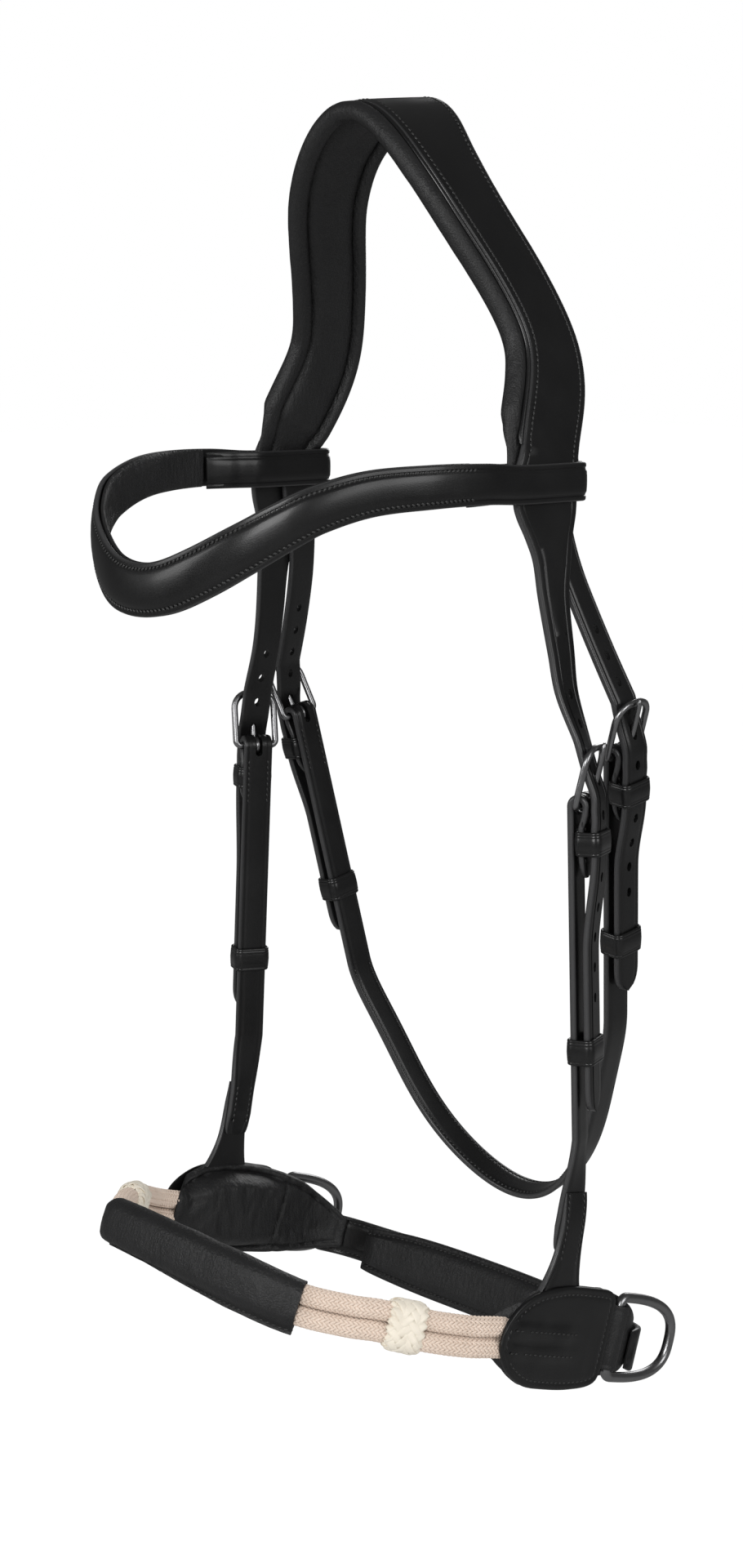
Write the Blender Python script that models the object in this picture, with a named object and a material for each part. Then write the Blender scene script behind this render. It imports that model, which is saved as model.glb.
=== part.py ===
# Bitless bridle with a rope noseband, hanging as it lies on a horse's head.
# Metres, +Z up. +X is the horse's left, the nose points to -Y.
# The origin is the poll seat, the underside of the headpiece at its highest point.
import math

import bmesh
import bpy
from mathutils import Matrix, Vector

# Shared sizes
GAP = 0.0003                    # running gap between pieces that touch
LEATHER = 0.0030                # thickness of the strap leather
STRAP_WIDTH = 0.0135            # cheekpiece and throatlatch straps
EDGE_ROUND = 0.0007             # rounding of a cut leather edge
CUT_OVERRUN = 0.004             # how far a cutter runs past what it cuts

# Headpiece
HEAD_HALF_WIDTH = 0.0792        # centre plane to the headpiece's leg at the browband
BROW_DROP = 0.1535              # crown's top down to the browband's middle
HEADPIECE_WIDTH = 0.041         # padded width at the browband
HEADPIECE_LEAN = math.radians(3) # its legs' rear edges lie closer to the head
CROWN_TIP = math.radians(5)      # the crown's rear edge stands higher
POLL_PAD = 0.0055               # padding between the poll and the headpiece's leather
FRONT_OVERHANG = 0.009          # padding in front of the leather
LEG_OVERHANG = 0.005            # the same inside the browband's loop
REAR_INSET = 0.0025             # leather behind the padding
ROLL_RADIUS = 0.0042            # rolled front edge of the padding
REAR_ROLL_RADIUS = 0.0024       # rolled rear edge of the padding
ROLL_DEPTH = 0.0015             # the roll's middle lies this far under the leather
LINING_END_RISE = 0.0035        # the padding stops this far above the browband's middle
LINING_END_DEPTH = 0.0030       # thickness of the padding where it enters the loop

# Browband
BROW_REACH = 0.1410             # how far it stands in front of the poll
BROW_DIP = 0.0392               # how far its middle hangs below its ends
BROW_WIDTH = 0.0213             # width at the middle of the forehead
BROW_LEATHER = 0.0024           # leather of the loops
BROW_CROWN = 0.0014             # padding under the front
BROW_LINING = 0.0018            # lining leather behind the forehead
LOOP_ROOM = 0.0004              # play of the browband's loops round the headpiece
LOOP_SLACK = 0.0018             # play inside, for the thinned padding
LOOP_REAR = 0.0250              # inside of the loop's rear fold, behind the poll
LOOP_SEAM = 0.0410              # the loop's inner layer ends this far in front of the poll

# Cheekpieces
CHEEK_OUT = 0.0234                       # headpiece's leg out to the buckle's bar
CHEEK_BACK = 0.0050                      # poll seat back to the bar
CHEEK_DROP = 0.1295                      # browband's middle down to the bar
CHEEK_SPLAY = 0.048                      # outward lean of the straight run, going down
CHEEK_RAKE = 0.011                       # forward lean of the straight run, going down
CHEEK_TWIST = math.radians(22)           # the strap's face turns this far to the rear
CHEEK_RUN = 0.143                        # straight run below the buckle
CHEEK_TIP = 0.128                        # billet's tip below the buckle bar
CHEEK_SLIDER = 0.102                     # sliding keeper below the buckle bar
CHEEK_HOLE_PITCH = 0.0127
CHEEK_HOLES_ABOVE = 3
CHEEK_HOLES_BELOW = 7

# Throatlatch
THROAT_OUT = 0.0215
THROAT_BACK = 0.0305
THROAT_DROP = 0.1142
THROAT_RISE = 0.0027                     # it hangs this much higher on the left, lower on the right
THROAT_SPLAY = -0.13
THROAT_RAKE = -0.17
THROAT_TWIST = 0.0
THROAT_RUN = 0.125
THROAT_TIP = 0.108
THROAT_SLIDER = 0.085
THROAT_BOTTOM_BACK = 0.0815
THROAT_BOTTOM_DROP = 0.489
THROAT_HOLE_PITCH = 0.0118
THROAT_HOLES_ABOVE = 4
THROAT_HOLES_BELOW = 6
THROAT_ROOT_WIDTH = 0.022                # sewn root of the throat billet

# Buckle, the same on all four straps
WIRE_RADIUS = 0.0015
BUCKLE_LENGTH = 0.0245                   # bar to top bar, centre lines
BUCKLE_CORNER = 0.0050                   # rounding of the two top corners
BAR_CORNER = 0.0022                      # rounding at the bar
BUCKLE_ROOM = 0.0013                     # play beside the strap
BUCKLE_LEAN = math.radians(15)           # the frame leans out from the strap
BILLET_ROOM = 0.0036                     # play between billet and top bar
PRONG_RADIUS = 0.0011
PRONG_OVERRUN = 0.0028                   # tip past the top bar
SLOT_ROOM = 0.0006                       # play beside the prong in its slot
HOLE_LENGTH = 0.0042
HOLE_WIDTH = 0.0030
PRONG_SWING = 0.0007                     # play for the prong in its hole
SHORT_END = 0.030                        # folded end below the bar
KEEPER_WALL = 0.0011
KEEPER_HEIGHT = 0.0100
BILLET_STANDOFF = 0.0028                 # the billet stands off the folded end
KEEPER_TOP = 0.0102                      # fixed keeper's top edge below the bar
SLIDER_HEIGHT = 0.0108
RUN_SPACE = 0.0028                       # space between strap and billet in the lower run

# Noseband, built flat in its own plane and tipped
NOSE_AHEAD = 0.009                       # noseband's centre from the poll seat
NOSE_DROP = 0.502
NOSE_TILT = math.radians(18.5)           # the nose is carried higher than the chin
PAD_PLANE = 0.1097                       # inner face of the pad's facing from the centre
PAD_LENGTH = 0.0745
PAD_HEIGHT = 0.0435
PAD_DEPTH = 0.0145                       # padding at its fullest
PAD_RIM = 0.0030                         # padding's sewn rim
FACING = 0.0020                          # pad's outer leather
FACING_INSET = 0.0028
ROPE_RADIUS = 0.0043
ROPE_DROP = 0.0015                       # ropes lie this far under the pad's middle
ROPE_IN_SHARE = 0.577                    # of the pad's length, inside the pad
ROPE_SINK = 0.0046                       # ropes' axes inside the pads' plane
NOSE_REACH = 0.129                       # nose centre to the pads' middle
KNOT_LENGTH = 0.0150
KNOT_HEIGHT = 0.0222
KNOT_THICKNESS = 0.0138
KNOT_HALF_SPAN = 0.0885
KNOT_AHEAD = 0.0750
KNOT_HEADING = math.radians(55)          # the ropes' direction through the knot
KNOT_DROP = 0.0040
RIGHT_LIFT = 0.0045                      # the ropes lie this much higher at the right knot
RIGHT_LEAD = 0.0030                      # and further forward
SLEEVE_HALF_SPAN = 0.060
SLEEVE_HEIGHT = 0.0208
SLEEVE_THICKNESS = 0.0132
SLEEVE_END_SHARE = 0.95
SLEEVE_FIN = 0.0028
SLEEVE_FIN_THICKNESS = 0.0024
RING_WIRE = 0.00225
RING_ARM_SHARE = 0.436                   # of the pad's length, behind its middle
RING_HEIGHT = 0.0345
RING_DEPTH = 0.0390
RING_RISE = 0.0025                       # ring's middle above the pad's middle
RING_CORNER = 0.0040
RING_PLANE = 0.1080
TAB_HEIGHT = 0.0277
TAB_LEATHER = 0.0014
TAB_IN_SHARE = 0.242                     # of the pad's length, the tab's flat layers
TAB_FOLD = 0.0050                        # from the ring's arm to the flat layers
SIDE_FOOT_SHARE = 0.3624                 # of the pad's length, the side piece's foot
SIDE_SEAM = 0.025                        # overlap of cheek strap and side piece
SIDE_BOW = 0.003                         # its outward bow on the way down
SIDE_FOOT_AHEAD_SHARE = 0.0966           # of the pad's length, ahead of its middle
SIDE_FOOT_Z = 0.0125
FOOT_ROOM = 0.0026                       # room for the slanted foot in the pad
CHIN_REACH_SHARE = 1.0805
CHIN_STRAP_WIDTH = 0.0190
CHIN_STRAP = 0.0028
CHIN_PAD_WIDTH = 0.0272
CHIN_PAD = 0.0048
CHIN_PAD_END_WIDTH = 0.0200
CHIN_PAD_DROP = 0.0024
CHIN_PAD_HALF_SPAN = 0.0815
CHIN_DROP = 0.0040

BLACK = (0.012, 0.012, 0.013)
LINING_BLACK = (0.018, 0.018, 0.019)
ROPE_BEIGE = (0.72, 0.58, 0.48)
KNOT_IVORY = (0.84, 0.79, 0.68)
GUN_METAL = (0.32, 0.32, 0.33)

ROPE_IN = PAD_LENGTH * ROPE_IN_SHARE
RING_ARM_Y = PAD_LENGTH * RING_ARM_SHARE
TAB_IN = PAD_LENGTH * TAB_IN_SHARE
SIDE_FOOT = PAD_LENGTH * SIDE_FOOT_SHARE
SIDE_FOOT_Y = -PAD_LENGTH * SIDE_FOOT_AHEAD_SHARE
CHIN_REACH = PAD_LENGTH * CHIN_REACH_SHARE
BROW_Z = POLL_PAD - BROW_DROP
CHEEK_BAR = (HEAD_HALF_WIDTH + CHEEK_OUT, CHEEK_BACK, BROW_Z - CHEEK_DROP)
THROAT_BAR = (HEAD_HALF_WIDTH + THROAT_OUT, THROAT_BACK, BROW_Z - THROAT_DROP)


for old in list(bpy.data.objects):
    bpy.data.objects.remove(old, do_unlink=True)


def make_material(name, colour, roughness, metallic=0.0):
    material = bpy.data.materials.new(name)
    material.use_nodes = True
    shader = material.node_tree.nodes["Principled BSDF"]
    shader.inputs["Base Color"].default_value = (*colour, 1.0)
    shader.inputs["Roughness"].default_value = roughness
    shader.inputs["Metallic"].default_value = metallic
    return material


def finish(name, bm, look, origin=(0.0, 0.0, 0.0), parent=None):
    """Turn a bmesh into a named object whose origin is at the given point."""
    bmesh.ops.recalc_face_normals(bm, faces=bm.faces)
    mesh = bpy.data.meshes.new(name)
    bm.to_mesh(mesh)
    bm.free()
    mesh.transform(Matrix.Translation(-Vector(origin)))
    mesh.shade_smooth()
    mesh.set_sharp_from_angle(angle=math.radians(40))
    mesh.materials.append(make_material(name + "_look", *look))
    piece = bpy.data.objects.new(name, mesh)
    bpy.context.collection.objects.link(piece)
    piece.location = origin
    if parent is not None:
        piece.parent = parent
    return piece


def cut(piece, cutter_bm, name):
    """Take the cutter's bodies away from the piece."""
    bmesh.ops.recalc_face_normals(cutter_bm, faces=cutter_bm.faces)
    mesh = bpy.data.meshes.new(name)
    cutter_bm.to_mesh(mesh)
    cutter_bm.free()
    mesh.transform(Matrix.Translation(-piece.location))
    cutter = bpy.data.objects.new(name, mesh)
    bpy.context.collection.objects.link(cutter)
    cutter.hide_render = True
    cutter.display_type = "WIRE"
    cutter.location = piece.location
    cutter.parent = piece.parent
    boolean = piece.modifiers.new(name, "BOOLEAN")
    boolean.object = cutter
    boolean.operation = "DIFFERENCE"


def curve_rows(rows, degrees_a_step=14.0):
    """Rows of numbers on a smooth curve through the given rows; the first three are the place."""
    places = [Vector(row[:3]) for row in rows]
    lengths = [(b - a).length for a, b in zip(places, places[1:])]
    along = [0.0]
    for length in lengths:
        along.append(along[-1] + length)
    slopes = []
    for i in range(len(rows)):
        low = max(i - 1, 0)
        high = min(i + 1, len(rows) - 1)
        run = along[high] - along[low]
        slopes.append([(b - a) / run for a, b in zip(rows[low], rows[high])])
    curved = []
    for i, length in enumerate(lengths):
        turn = Vector(slopes[i][:3]).angle(Vector(slopes[i + 1][:3]), 0.0)
        steps = max(1, math.ceil(math.degrees(turn) / degrees_a_step))
        for k in range(steps):
            t = k / steps
            a0 = 2 * t ** 3 - 3 * t ** 2 + 1
            a1 = (t ** 3 - 2 * t ** 2 + t) * length
            b0 = -2 * t ** 3 + 3 * t ** 2
            b1 = (t ** 3 - t ** 2) * length
            curved.append(tuple(
                a0 * p + a1 * s + b0 * q + b1 * r
                for p, s, q, r in zip(rows[i], slopes[i], rows[i + 1], slopes[i + 1])))
    curved.append(tuple(rows[-1]))
    return curved


def mirrored(rows, across_at=3):
    """The same rows on the other side, in the opposite order."""
    flipped = []
    for row in reversed(rows):
        row = list(row)
        row[0] = -row[0]
        row[across_at] = -row[across_at]
        flipped.append(tuple(row))
    return flipped


def frames_of(rows):
    """Place, across and out directions of each row; out is direction of travel x across."""
    places = [Vector(row[:3]) for row in rows]
    frames = []
    for i, place in enumerate(places):
        ahead = places[min(i + 1, len(places) - 1)]
        behind = places[max(i - 1, 0)]
        travel = (ahead - behind).normalized()
        hint = Vector(rows[i][3:6])
        across = (hint - travel * hint.dot(travel)).normalized()
        frames.append((place, across, travel.cross(across)))
    return frames


def loft(bm, rings):
    """Skin closed rings of points and cap both ends."""
    loops = [[bm.verts.new(point) for point in ring] for ring in rings]
    for low, high in zip(loops, loops[1:]):
        for k in range(len(low)):
            after = (k + 1) % len(low)
            bm.faces.new((low[k], low[after], high[after], high[k]))
    bm.faces.new(loops[0])
    bm.faces.new(reversed(loops[-1]))


def ring_loft(bm, outer_rings, inner_rings):
    """Skin a tube with a bore from matching outer and inner rings."""
    outers = [[bm.verts.new(point) for point in ring] for ring in outer_rings]
    inners = [[bm.verts.new(point) for point in ring] for ring in inner_rings]
    for loops in (outers, inners):
        for low, high in zip(loops, loops[1:]):
            for k in range(len(low)):
                after = (k + 1) % len(low)
                bm.faces.new((low[k], low[after], high[after], high[k]))
    for outer, inner in ((outers[0], inners[0]), (outers[-1], inners[-1])):
        for k in range(len(outer)):
            after = (k + 1) % len(outer)
            bm.faces.new((outer[k], outer[after], inner[after], inner[k]))


def on_frame(frame, outline):
    place, across, out = frame
    return [place + across * a + out * b for a, b in outline]


def leather_outline(left, right, low, high, corner=EDGE_ROUND):
    """A strap's cross-section with its four edges eased."""
    ease = min(corner, (high - low) * 0.3, (right - left) * 0.3)
    return [
        (left + ease, low), (right - ease, low), (right, low + ease), (right, high - ease),
        (right - ease, high), (left + ease, high), (left, high - ease), (left, low + ease)]


def strap(name, rows, low, high, look, parent=None, corner=EDGE_ROUND):
    """A leather strap swept along rows of (place, across, width, ...)."""
    bm = bmesh.new()
    rings = []
    for frame, row in zip(frames_of(rows), rows):
        half = row[6] / 2
        rings.append(on_frame(frame, leather_outline(-half, half, low, high, corner)))
    loft(bm, rings)
    return finish(name, bm, look, parent=parent)


def box(bm, frame, a_range, b_range, c_range):
    """A box along the frame's across, out and travel directions."""
    place, across, out = frame
    travel = across.cross(out)
    corners = []
    for c in c_range:
        for a, b in ((0, 0), (1, 0), (1, 1), (0, 1)):
            corners.append(bm.verts.new(
                place + across * a_range[a] + out * b_range[b] + travel * c))
    bm.faces.new(corners[:4])
    bm.faces.new(reversed(corners[4:]))
    for k in range(4):
        after = (k + 1) % 4
        bm.faces.new((corners[k], corners[after], corners[4 + after], corners[4 + k]))


def oval_post(bm, place, axis, long_way, half_long, half_wide, half_length, sides=6):
    """An oval post through the place, along the axis."""
    axis = axis.normalized()
    long_way = (long_way - axis * long_way.dot(axis)).normalized()
    wide_way = axis.cross(long_way)
    rings = []
    for end in (-half_length, half_length):
        rings.append([
            place + axis * end
            + long_way * half_long * math.cos(2 * math.pi * k / sides)
            + wide_way * half_wide * math.sin(2 * math.pi * k / sides)
            for k in range(sides)])
    loft(bm, rings)


def wire(bm, points, radius, side, closed=False, sides=6):
    """Round wire along points in one plane; side is that plane's normal."""
    rings = []
    count = len(points)
    for i, point in enumerate(points):
        if closed:
            ahead, behind = points[(i + 1) % count], points[i - 1]
        else:
            ahead, behind = points[min(i + 1, count - 1)], points[max(i - 1, 0)]
        travel = (ahead - behind).normalized()
        out = travel.cross(side)
        reach = radius
        if 0 < i < count - 1 or closed:
            half_turn = (ahead - point).angle(point - behind, 0.0) / 2
            reach = radius / math.cos(half_turn)
        rings.append([
            point + out * reach * math.cos(2 * math.pi * (k + 0.5) / sides)
            + side * radius * math.sin(2 * math.pi * (k + 0.5) / sides)
            for k in range(sides)])
    if closed:
        loops = [[bm.verts.new(p) for p in ring] for ring in rings]
        for low, high in zip(loops, loops[1:] + loops[:1]):
            for k in range(sides):
                after = (k + 1) % sides
                bm.faces.new((low[k], low[after], high[after], high[k]))
    else:
        loft(bm, rings)


def arc(centre, x_way, y_way, radius, start, end, steps):
    """Points on an arc from start to end, in degrees."""
    points = []
    for k in range(steps + 1):
        angle = math.radians(start + (end - start) * k / steps)
        points.append(centre + x_way * radius * math.cos(angle) + y_way * radius * math.sin(angle))
    return points


LEATHER_LOOK = (BLACK, 0.42)
LINING_LOOK = (LINING_BLACK, 0.60)
METAL_LOOK = (GUN_METAL, 0.22, 1.0)
SIDES = (("left", 1.0), ("right", -1.0))


# Buckle seats: place of the bar, with the directions across, up the strap and out
def seat(bar, splay, rake, twist, rise, side):
    bar = Vector(bar)
    bar.z += rise * side
    up = Vector((-splay, rake, 1.0)).normalized()
    face = Vector((math.cos(twist), math.sin(twist), 0.0))
    out = (face - up * face.dot(up)).normalized()
    across = up.cross(out)
    if side < 0:
        flip = Matrix.Diagonal((-1.0, 1.0, 1.0))
        bar, up, out, across = flip @ bar, flip @ up, flip @ out, flip @ across
    return {"bar": bar, "up": up, "out": out, "across": across, "side": side}


def seat_point(place, s, n, w=0.0):
    return place["bar"] + place["up"] * s + place["out"] * n + place["across"] * w


def seat_empty(name, place):
    """An empty on the bar's middle, turned with the strap."""
    empty = bpy.data.objects.new(name, None)
    bpy.context.collection.objects.link(empty)
    across = place["across"] * place["side"]
    turn = Matrix((across, place["up"], place["out"])).transposed()
    empty.matrix_world = Matrix.Translation(place["bar"]) @ turn.to_4x4()
    bpy.context.view_layer.update()
    return empty


# Levels of the layers at a buckle, measured out from the bar's axis
FOLD_RADIUS = WIRE_RADIUS + GAP
INNER_RUN_FACE = -FOLD_RADIUS
SHORT_LEATHER = LEATHER * 0.85
KEEPER_INNER = INNER_RUN_FACE + GAP
SHORT_FACE = KEEPER_INNER + KEEPER_WALL + GAP
BILLET_FACE = SHORT_FACE + SHORT_LEATHER + BILLET_STANDOFF
BILLET_LOW_FACE = INNER_RUN_FACE + RUN_SPACE
EYE_RADIUS = WIRE_RADIUS + GAP + PRONG_RADIUS
BUCKLE_HALF_WIDTH = STRAP_WIDTH / 2 + BUCKLE_ROOM + WIRE_RADIUS
SLOT_HALF_WIDTH = PRONG_RADIUS + SLOT_ROOM
TIP_SHARES = ((0.0, 1.0), (0.30, 0.97), (0.58, 0.82), (0.82, 0.52), (1.0, 0.20))
TIP_LENGTH = STRAP_WIDTH * 0.85


def lean_point(f, g):
    """Turn a place along and out from the leaning frame into up and out of the strap."""
    s = f * math.cos(BUCKLE_LEAN) - g * math.sin(BUCKLE_LEAN)
    n = f * math.sin(BUCKLE_LEAN) + g * math.cos(BUCKLE_LEAN)
    return s, n


def billet_path(tip):
    """Up and out places of a fastened billet's inner face, from the top bar to the tip."""
    top = lean_point(BUCKLE_LENGTH, -(WIRE_RADIUS + BILLET_ROOM + LEATHER))
    fold_clear = FOLD_RADIUS + LEATHER + 2 * GAP
    bend = SHORT_END * 0.4
    return [
        top,
        (BUCKLE_LENGTH * 0.55, (top[1] + fold_clear) / 2),
        (FOLD_RADIUS * 2, fold_clear),
        (-FOLD_RADIUS, fold_clear),
        (-KEEPER_TOP * 0.62, (fold_clear + BILLET_FACE) / 2 + GAP),
        (-KEEPER_TOP, BILLET_FACE),
        (-KEEPER_TOP - KEEPER_HEIGHT * 0.5, BILLET_FACE),
        (-SHORT_END, BILLET_FACE),
        (-SHORT_END - bend, BILLET_LOW_FACE),
        (-SHORT_END - bend * 2, BILLET_LOW_FACE),
        (-(SHORT_END + bend * 2 + tip - TIP_LENGTH) / 2, BILLET_LOW_FACE),
        (-(tip - TIP_LENGTH), BILLET_LOW_FACE)]


def strap_row(point, across, width, *more):
    return (*point, *across, width, *more)


def billet_rows(place, tip):
    rows = [
        strap_row(seat_point(place, s, n), place["across"], STRAP_WIDTH)
        for s, n in billet_path(tip)]
    return curve_rows(rows) + [
        strap_row(seat_point(place, -(tip - TIP_LENGTH * (1 - along)), BILLET_LOW_FACE),
                  place["across"], STRAP_WIDTH * wide)
        for along, wide in TIP_SHARES[1:]]


def folded_rows(place):
    """Rows over the bar and down the short end, on the face that touches the bar."""
    rows = []
    for k in range(7):
        angle = math.pi * (1 - k / 6)
        s = FOLD_RADIUS * math.sin(angle)
        n = FOLD_RADIUS * math.cos(angle)
        rows.append(strap_row(seat_point(place, s, n), place["across"], STRAP_WIDTH, LEATHER))
    level = SHORT_FACE
    for s, n, wide, thick in (
            (-FOLD_RADIUS, FOLD_RADIUS, 1.0, 1.0),
            (-KEEPER_TOP * 0.55, (FOLD_RADIUS + level) / 2, 1.0, 0.93),
            (-KEEPER_TOP * 0.9, level, 1.0, 0.85),
            (-SHORT_END * 0.70, level, 1.0, 0.85),
            (-SHORT_END * 0.85, level, 0.75, 0.80),
            (-SHORT_END, level, 0.30, 0.60)):
        rows.append(strap_row(
            seat_point(place, s, n), place["across"], STRAP_WIDTH * wide, LEATHER * thick))
    return rows


def folded_strap(name, rows, look):
    """A strap whose thickness is the last number of each row."""
    bm = bmesh.new()
    rings = []
    for frame, row in zip(frames_of(rows), rows):
        rings.append(on_frame(frame, leather_outline(-row[6] / 2, row[6] / 2, 0.0, row[7])))
    loft(bm, rings)
    return finish(name, bm, look)


def slot_cutter(bm, place):
    frame = (place["bar"], place["across"], place["out"])
    reach = FOLD_RADIUS + LEATHER + CUT_OVERRUN / 2
    drop = EYE_RADIUS + PRONG_RADIUS + GAP
    box(bm, frame, (-SLOT_HALF_WIDTH, SLOT_HALF_WIDTH), (-reach, reach),
        (-drop, reach) if place["side"] < 0 else (-reach, drop))


def hole_cutter(bm, rows, place, pitch, above, below):
    """Oval holes along a billet, counted from the one that the prong goes through.

    The rows run down from the headpiece on either side.
    """
    prong_start = seat_point(place, *lean_point(0.0, EYE_RADIUS))
    prong_end = seat_point(place, *lean_point(BUCKLE_LENGTH, EYE_RADIUS))
    prong_way = (prong_end - prong_start).normalized()
    swing_way = seat_point(place, *lean_point(0.0, 1.0)) - place["bar"]
    frames = frames_of(rows)
    middles = [frame[0] + frame[2] * place["side"] * LEATHER / 2 for frame in frames]
    along = [0.0]
    for a, b in zip(middles, middles[1:]):
        along.append(along[-1] + (b - a).length)

    def at(target):
        i = max(k for k in range(len(along) - 1) if along[k] <= target)
        t = (target - along[i]) / (along[i + 1] - along[i])
        way = (middles[i + 1] - middles[i]).normalized()
        return middles[i].lerp(middles[i + 1], t), way, frames[i][2].lerp(frames[i + 1][2], t)

    def off_prong(target):
        point = at(target)[0]
        t = max(0.0, min(1.0, (point - prong_start).dot(prong_way) / BUCKLE_LENGTH))
        return (point - prong_start - prong_way * BUCKLE_LENGTH * t).length

    samples = 400
    crossing = min((along[-1] * k / samples for k in range(samples)), key=off_prong)
    oval_post(bm, at(crossing)[0], prong_way, swing_way,
              PRONG_RADIUS + GAP + PRONG_SWING, PRONG_RADIUS + 2 * GAP, BUCKLE_LENGTH * 0.30)
    for k in range(-above, below + 1):
        if k != 0:
            middle, way, out = at(crossing + k * pitch)
            oval_post(bm, middle, out, way, HOLE_LENGTH / 2, HOLE_WIDTH / 2, LEATHER)


cheek_seats = {}
throat_seats = {}
for side_name, side in SIDES:
    cheek_seats[side_name] = seat(CHEEK_BAR, CHEEK_SPLAY, CHEEK_RAKE, CHEEK_TWIST, 0.0, side)
    throat_seats[side_name] = seat(
        THROAT_BAR, THROAT_SPLAY, THROAT_RAKE, THROAT_TWIST, THROAT_RISE, side)


# Headpiece: leather with a billet at each end, and its padding
# Shares of the half width, padded width, drop and padded width, from the crown down
CROWN_SHARES = (
    (0.000, -0.207, 0.000, 1.244),
    (0.180, -0.227, 0.040, 1.220),
    (0.315, -0.241, 0.105, 1.112),
    (0.403, -0.215, 0.165, 1.068),
    (0.485, -0.151, 0.230, 1.027),
    (0.545, -0.078, 0.290, 0.990),
    (0.622, 0.068, 0.375, 0.966),
    (0.708, 0.237, 0.475, 0.956),
    (0.797, 0.380, 0.588, 0.951),
    (0.848, 0.422, 0.664, 1.000),
    (0.885, 0.378, 0.729, 1.037),
    (0.914, 0.298, 0.785, 1.037),
    (0.950, 0.150, 0.865, 1.024),
    (0.992, 0.050, 0.940, 1.000),
    (1.000, 0.024, 1.000, 1.000))
# Shares from the browband to the buckle's bar of the way out, back and down, and of the width
BILLET_SHARES = (
    (0.010, 0.00, 0.070, 0.980),
    (0.040, 0.00, 0.112, 0.860),
    (0.090, 0.00, 0.165, 0.600),
    (0.150, 0.00, 0.235, 0.350),
    (0.220, -0.02, 0.350, 0.160),
    (0.355, 0.00, 0.530, 0.060),
    (0.470, 0.00, 0.655, 0.015))
BACK = Vector((0.0, 1.0, 0.0))
LEG_Y = HEADPIECE_WIDTH * CROWN_SHARES[-1][1]


def crown_rows():
    rows = []
    for x, y, z, width in CROWN_SHARES:
        place = (x * HEAD_HALF_WIDTH, y * HEADPIECE_WIDTH, POLL_PAD - z * BROW_DROP)
        rows.append(strap_row(place, BACK, width * HEADPIECE_WIDTH))
    whole = curve_rows(mirrored(rows)[:-1] + rows)
    leaned = []
    for row, frame in zip(whole, frames_of(whole)):
        fade = min(1.0, abs(row[0]) / (HEAD_HALF_WIDTH / 2))
        lean = math.tan(HEADPIECE_LEAN) * fade - math.tan(CROWN_TIP) * (1.0 - fade)
        lean *= min(1.0, (row[2] - BROW_Z) / BROW_WIDTH)
        leaned.append((*row[:3], *(BACK - frame[2] * lean), *row[6:]))
    return leaned


def leather_row(row, frame):
    """The leather covers the padding but for the roll at its front, which ends in the loop."""
    rise = (row[2] - BROW_Z) / (BROW_WIDTH / 2)
    overhang = LEG_OVERHANG + (FRONT_OVERHANG - LEG_OVERHANG) * max(0.0, min(1.0, rise))
    return strap_row(frame[0] + frame[1] * overhang / 2, frame[1], row[6] - overhang)


def cheek_billet_rows(place):
    leg = Vector((HEAD_HALF_WIDTH * place["side"], LEG_Y + LEG_OVERHANG / 2, BROW_Z))
    wide = HEADPIECE_WIDTH - LEG_OVERHANG
    lined = seat_point(place, 0.0, BILLET_FACE)
    rows = []
    for out, back, down, share in BILLET_SHARES:
        point = Vector((
            leg.x + (lined.x - leg.x) * out,
            leg.y + HEADPIECE_WIDTH * back,
            leg.z + (lined.z - leg.z) * down))
        turn = max(0.0, (down - 0.45) / 0.55)
        across = BACK.lerp(place["across"], turn)
        rows.append(strap_row(point, across, STRAP_WIDTH + (wide - STRAP_WIDTH) * share))
    buckle = billet_rows(place, CHEEK_TIP)
    upper = curve_rows([strap_row(leg, BACK, wide)] + rows + [buckle[0]])
    return upper[1:-1] + buckle


crown = crown_rows()
left_billet = cheek_billet_rows(cheek_seats["left"])
right_billet = cheek_billet_rows(cheek_seats["right"])
crown_leather = [leather_row(row, frame) for row, frame in zip(crown, frames_of(crown))]
head_rows = list(reversed(right_billet)) + crown_leather + left_billet
headpiece = strap("headpiece_strap", head_rows, 0.0, LEATHER, LEATHER_LOOK)
holes = bmesh.new()
hole_cutter(holes, right_billet, cheek_seats["right"],
            CHEEK_HOLE_PITCH, CHEEK_HOLES_ABOVE, CHEEK_HOLES_BELOW)
hole_cutter(holes, left_billet, cheek_seats["left"],
            CHEEK_HOLE_PITCH, CHEEK_HOLES_ABOVE, CHEEK_HOLES_BELOW)
cut(headpiece, holes, "cheek_billet_holes")


CHANNEL_SHARE = 0.70
# Shares of the way across the padded panel and of its crown
PANEL_SHARES = ((0.16, 0.75), (0.38, 1.0), (0.62, 1.0), (0.84, 0.75))


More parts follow.
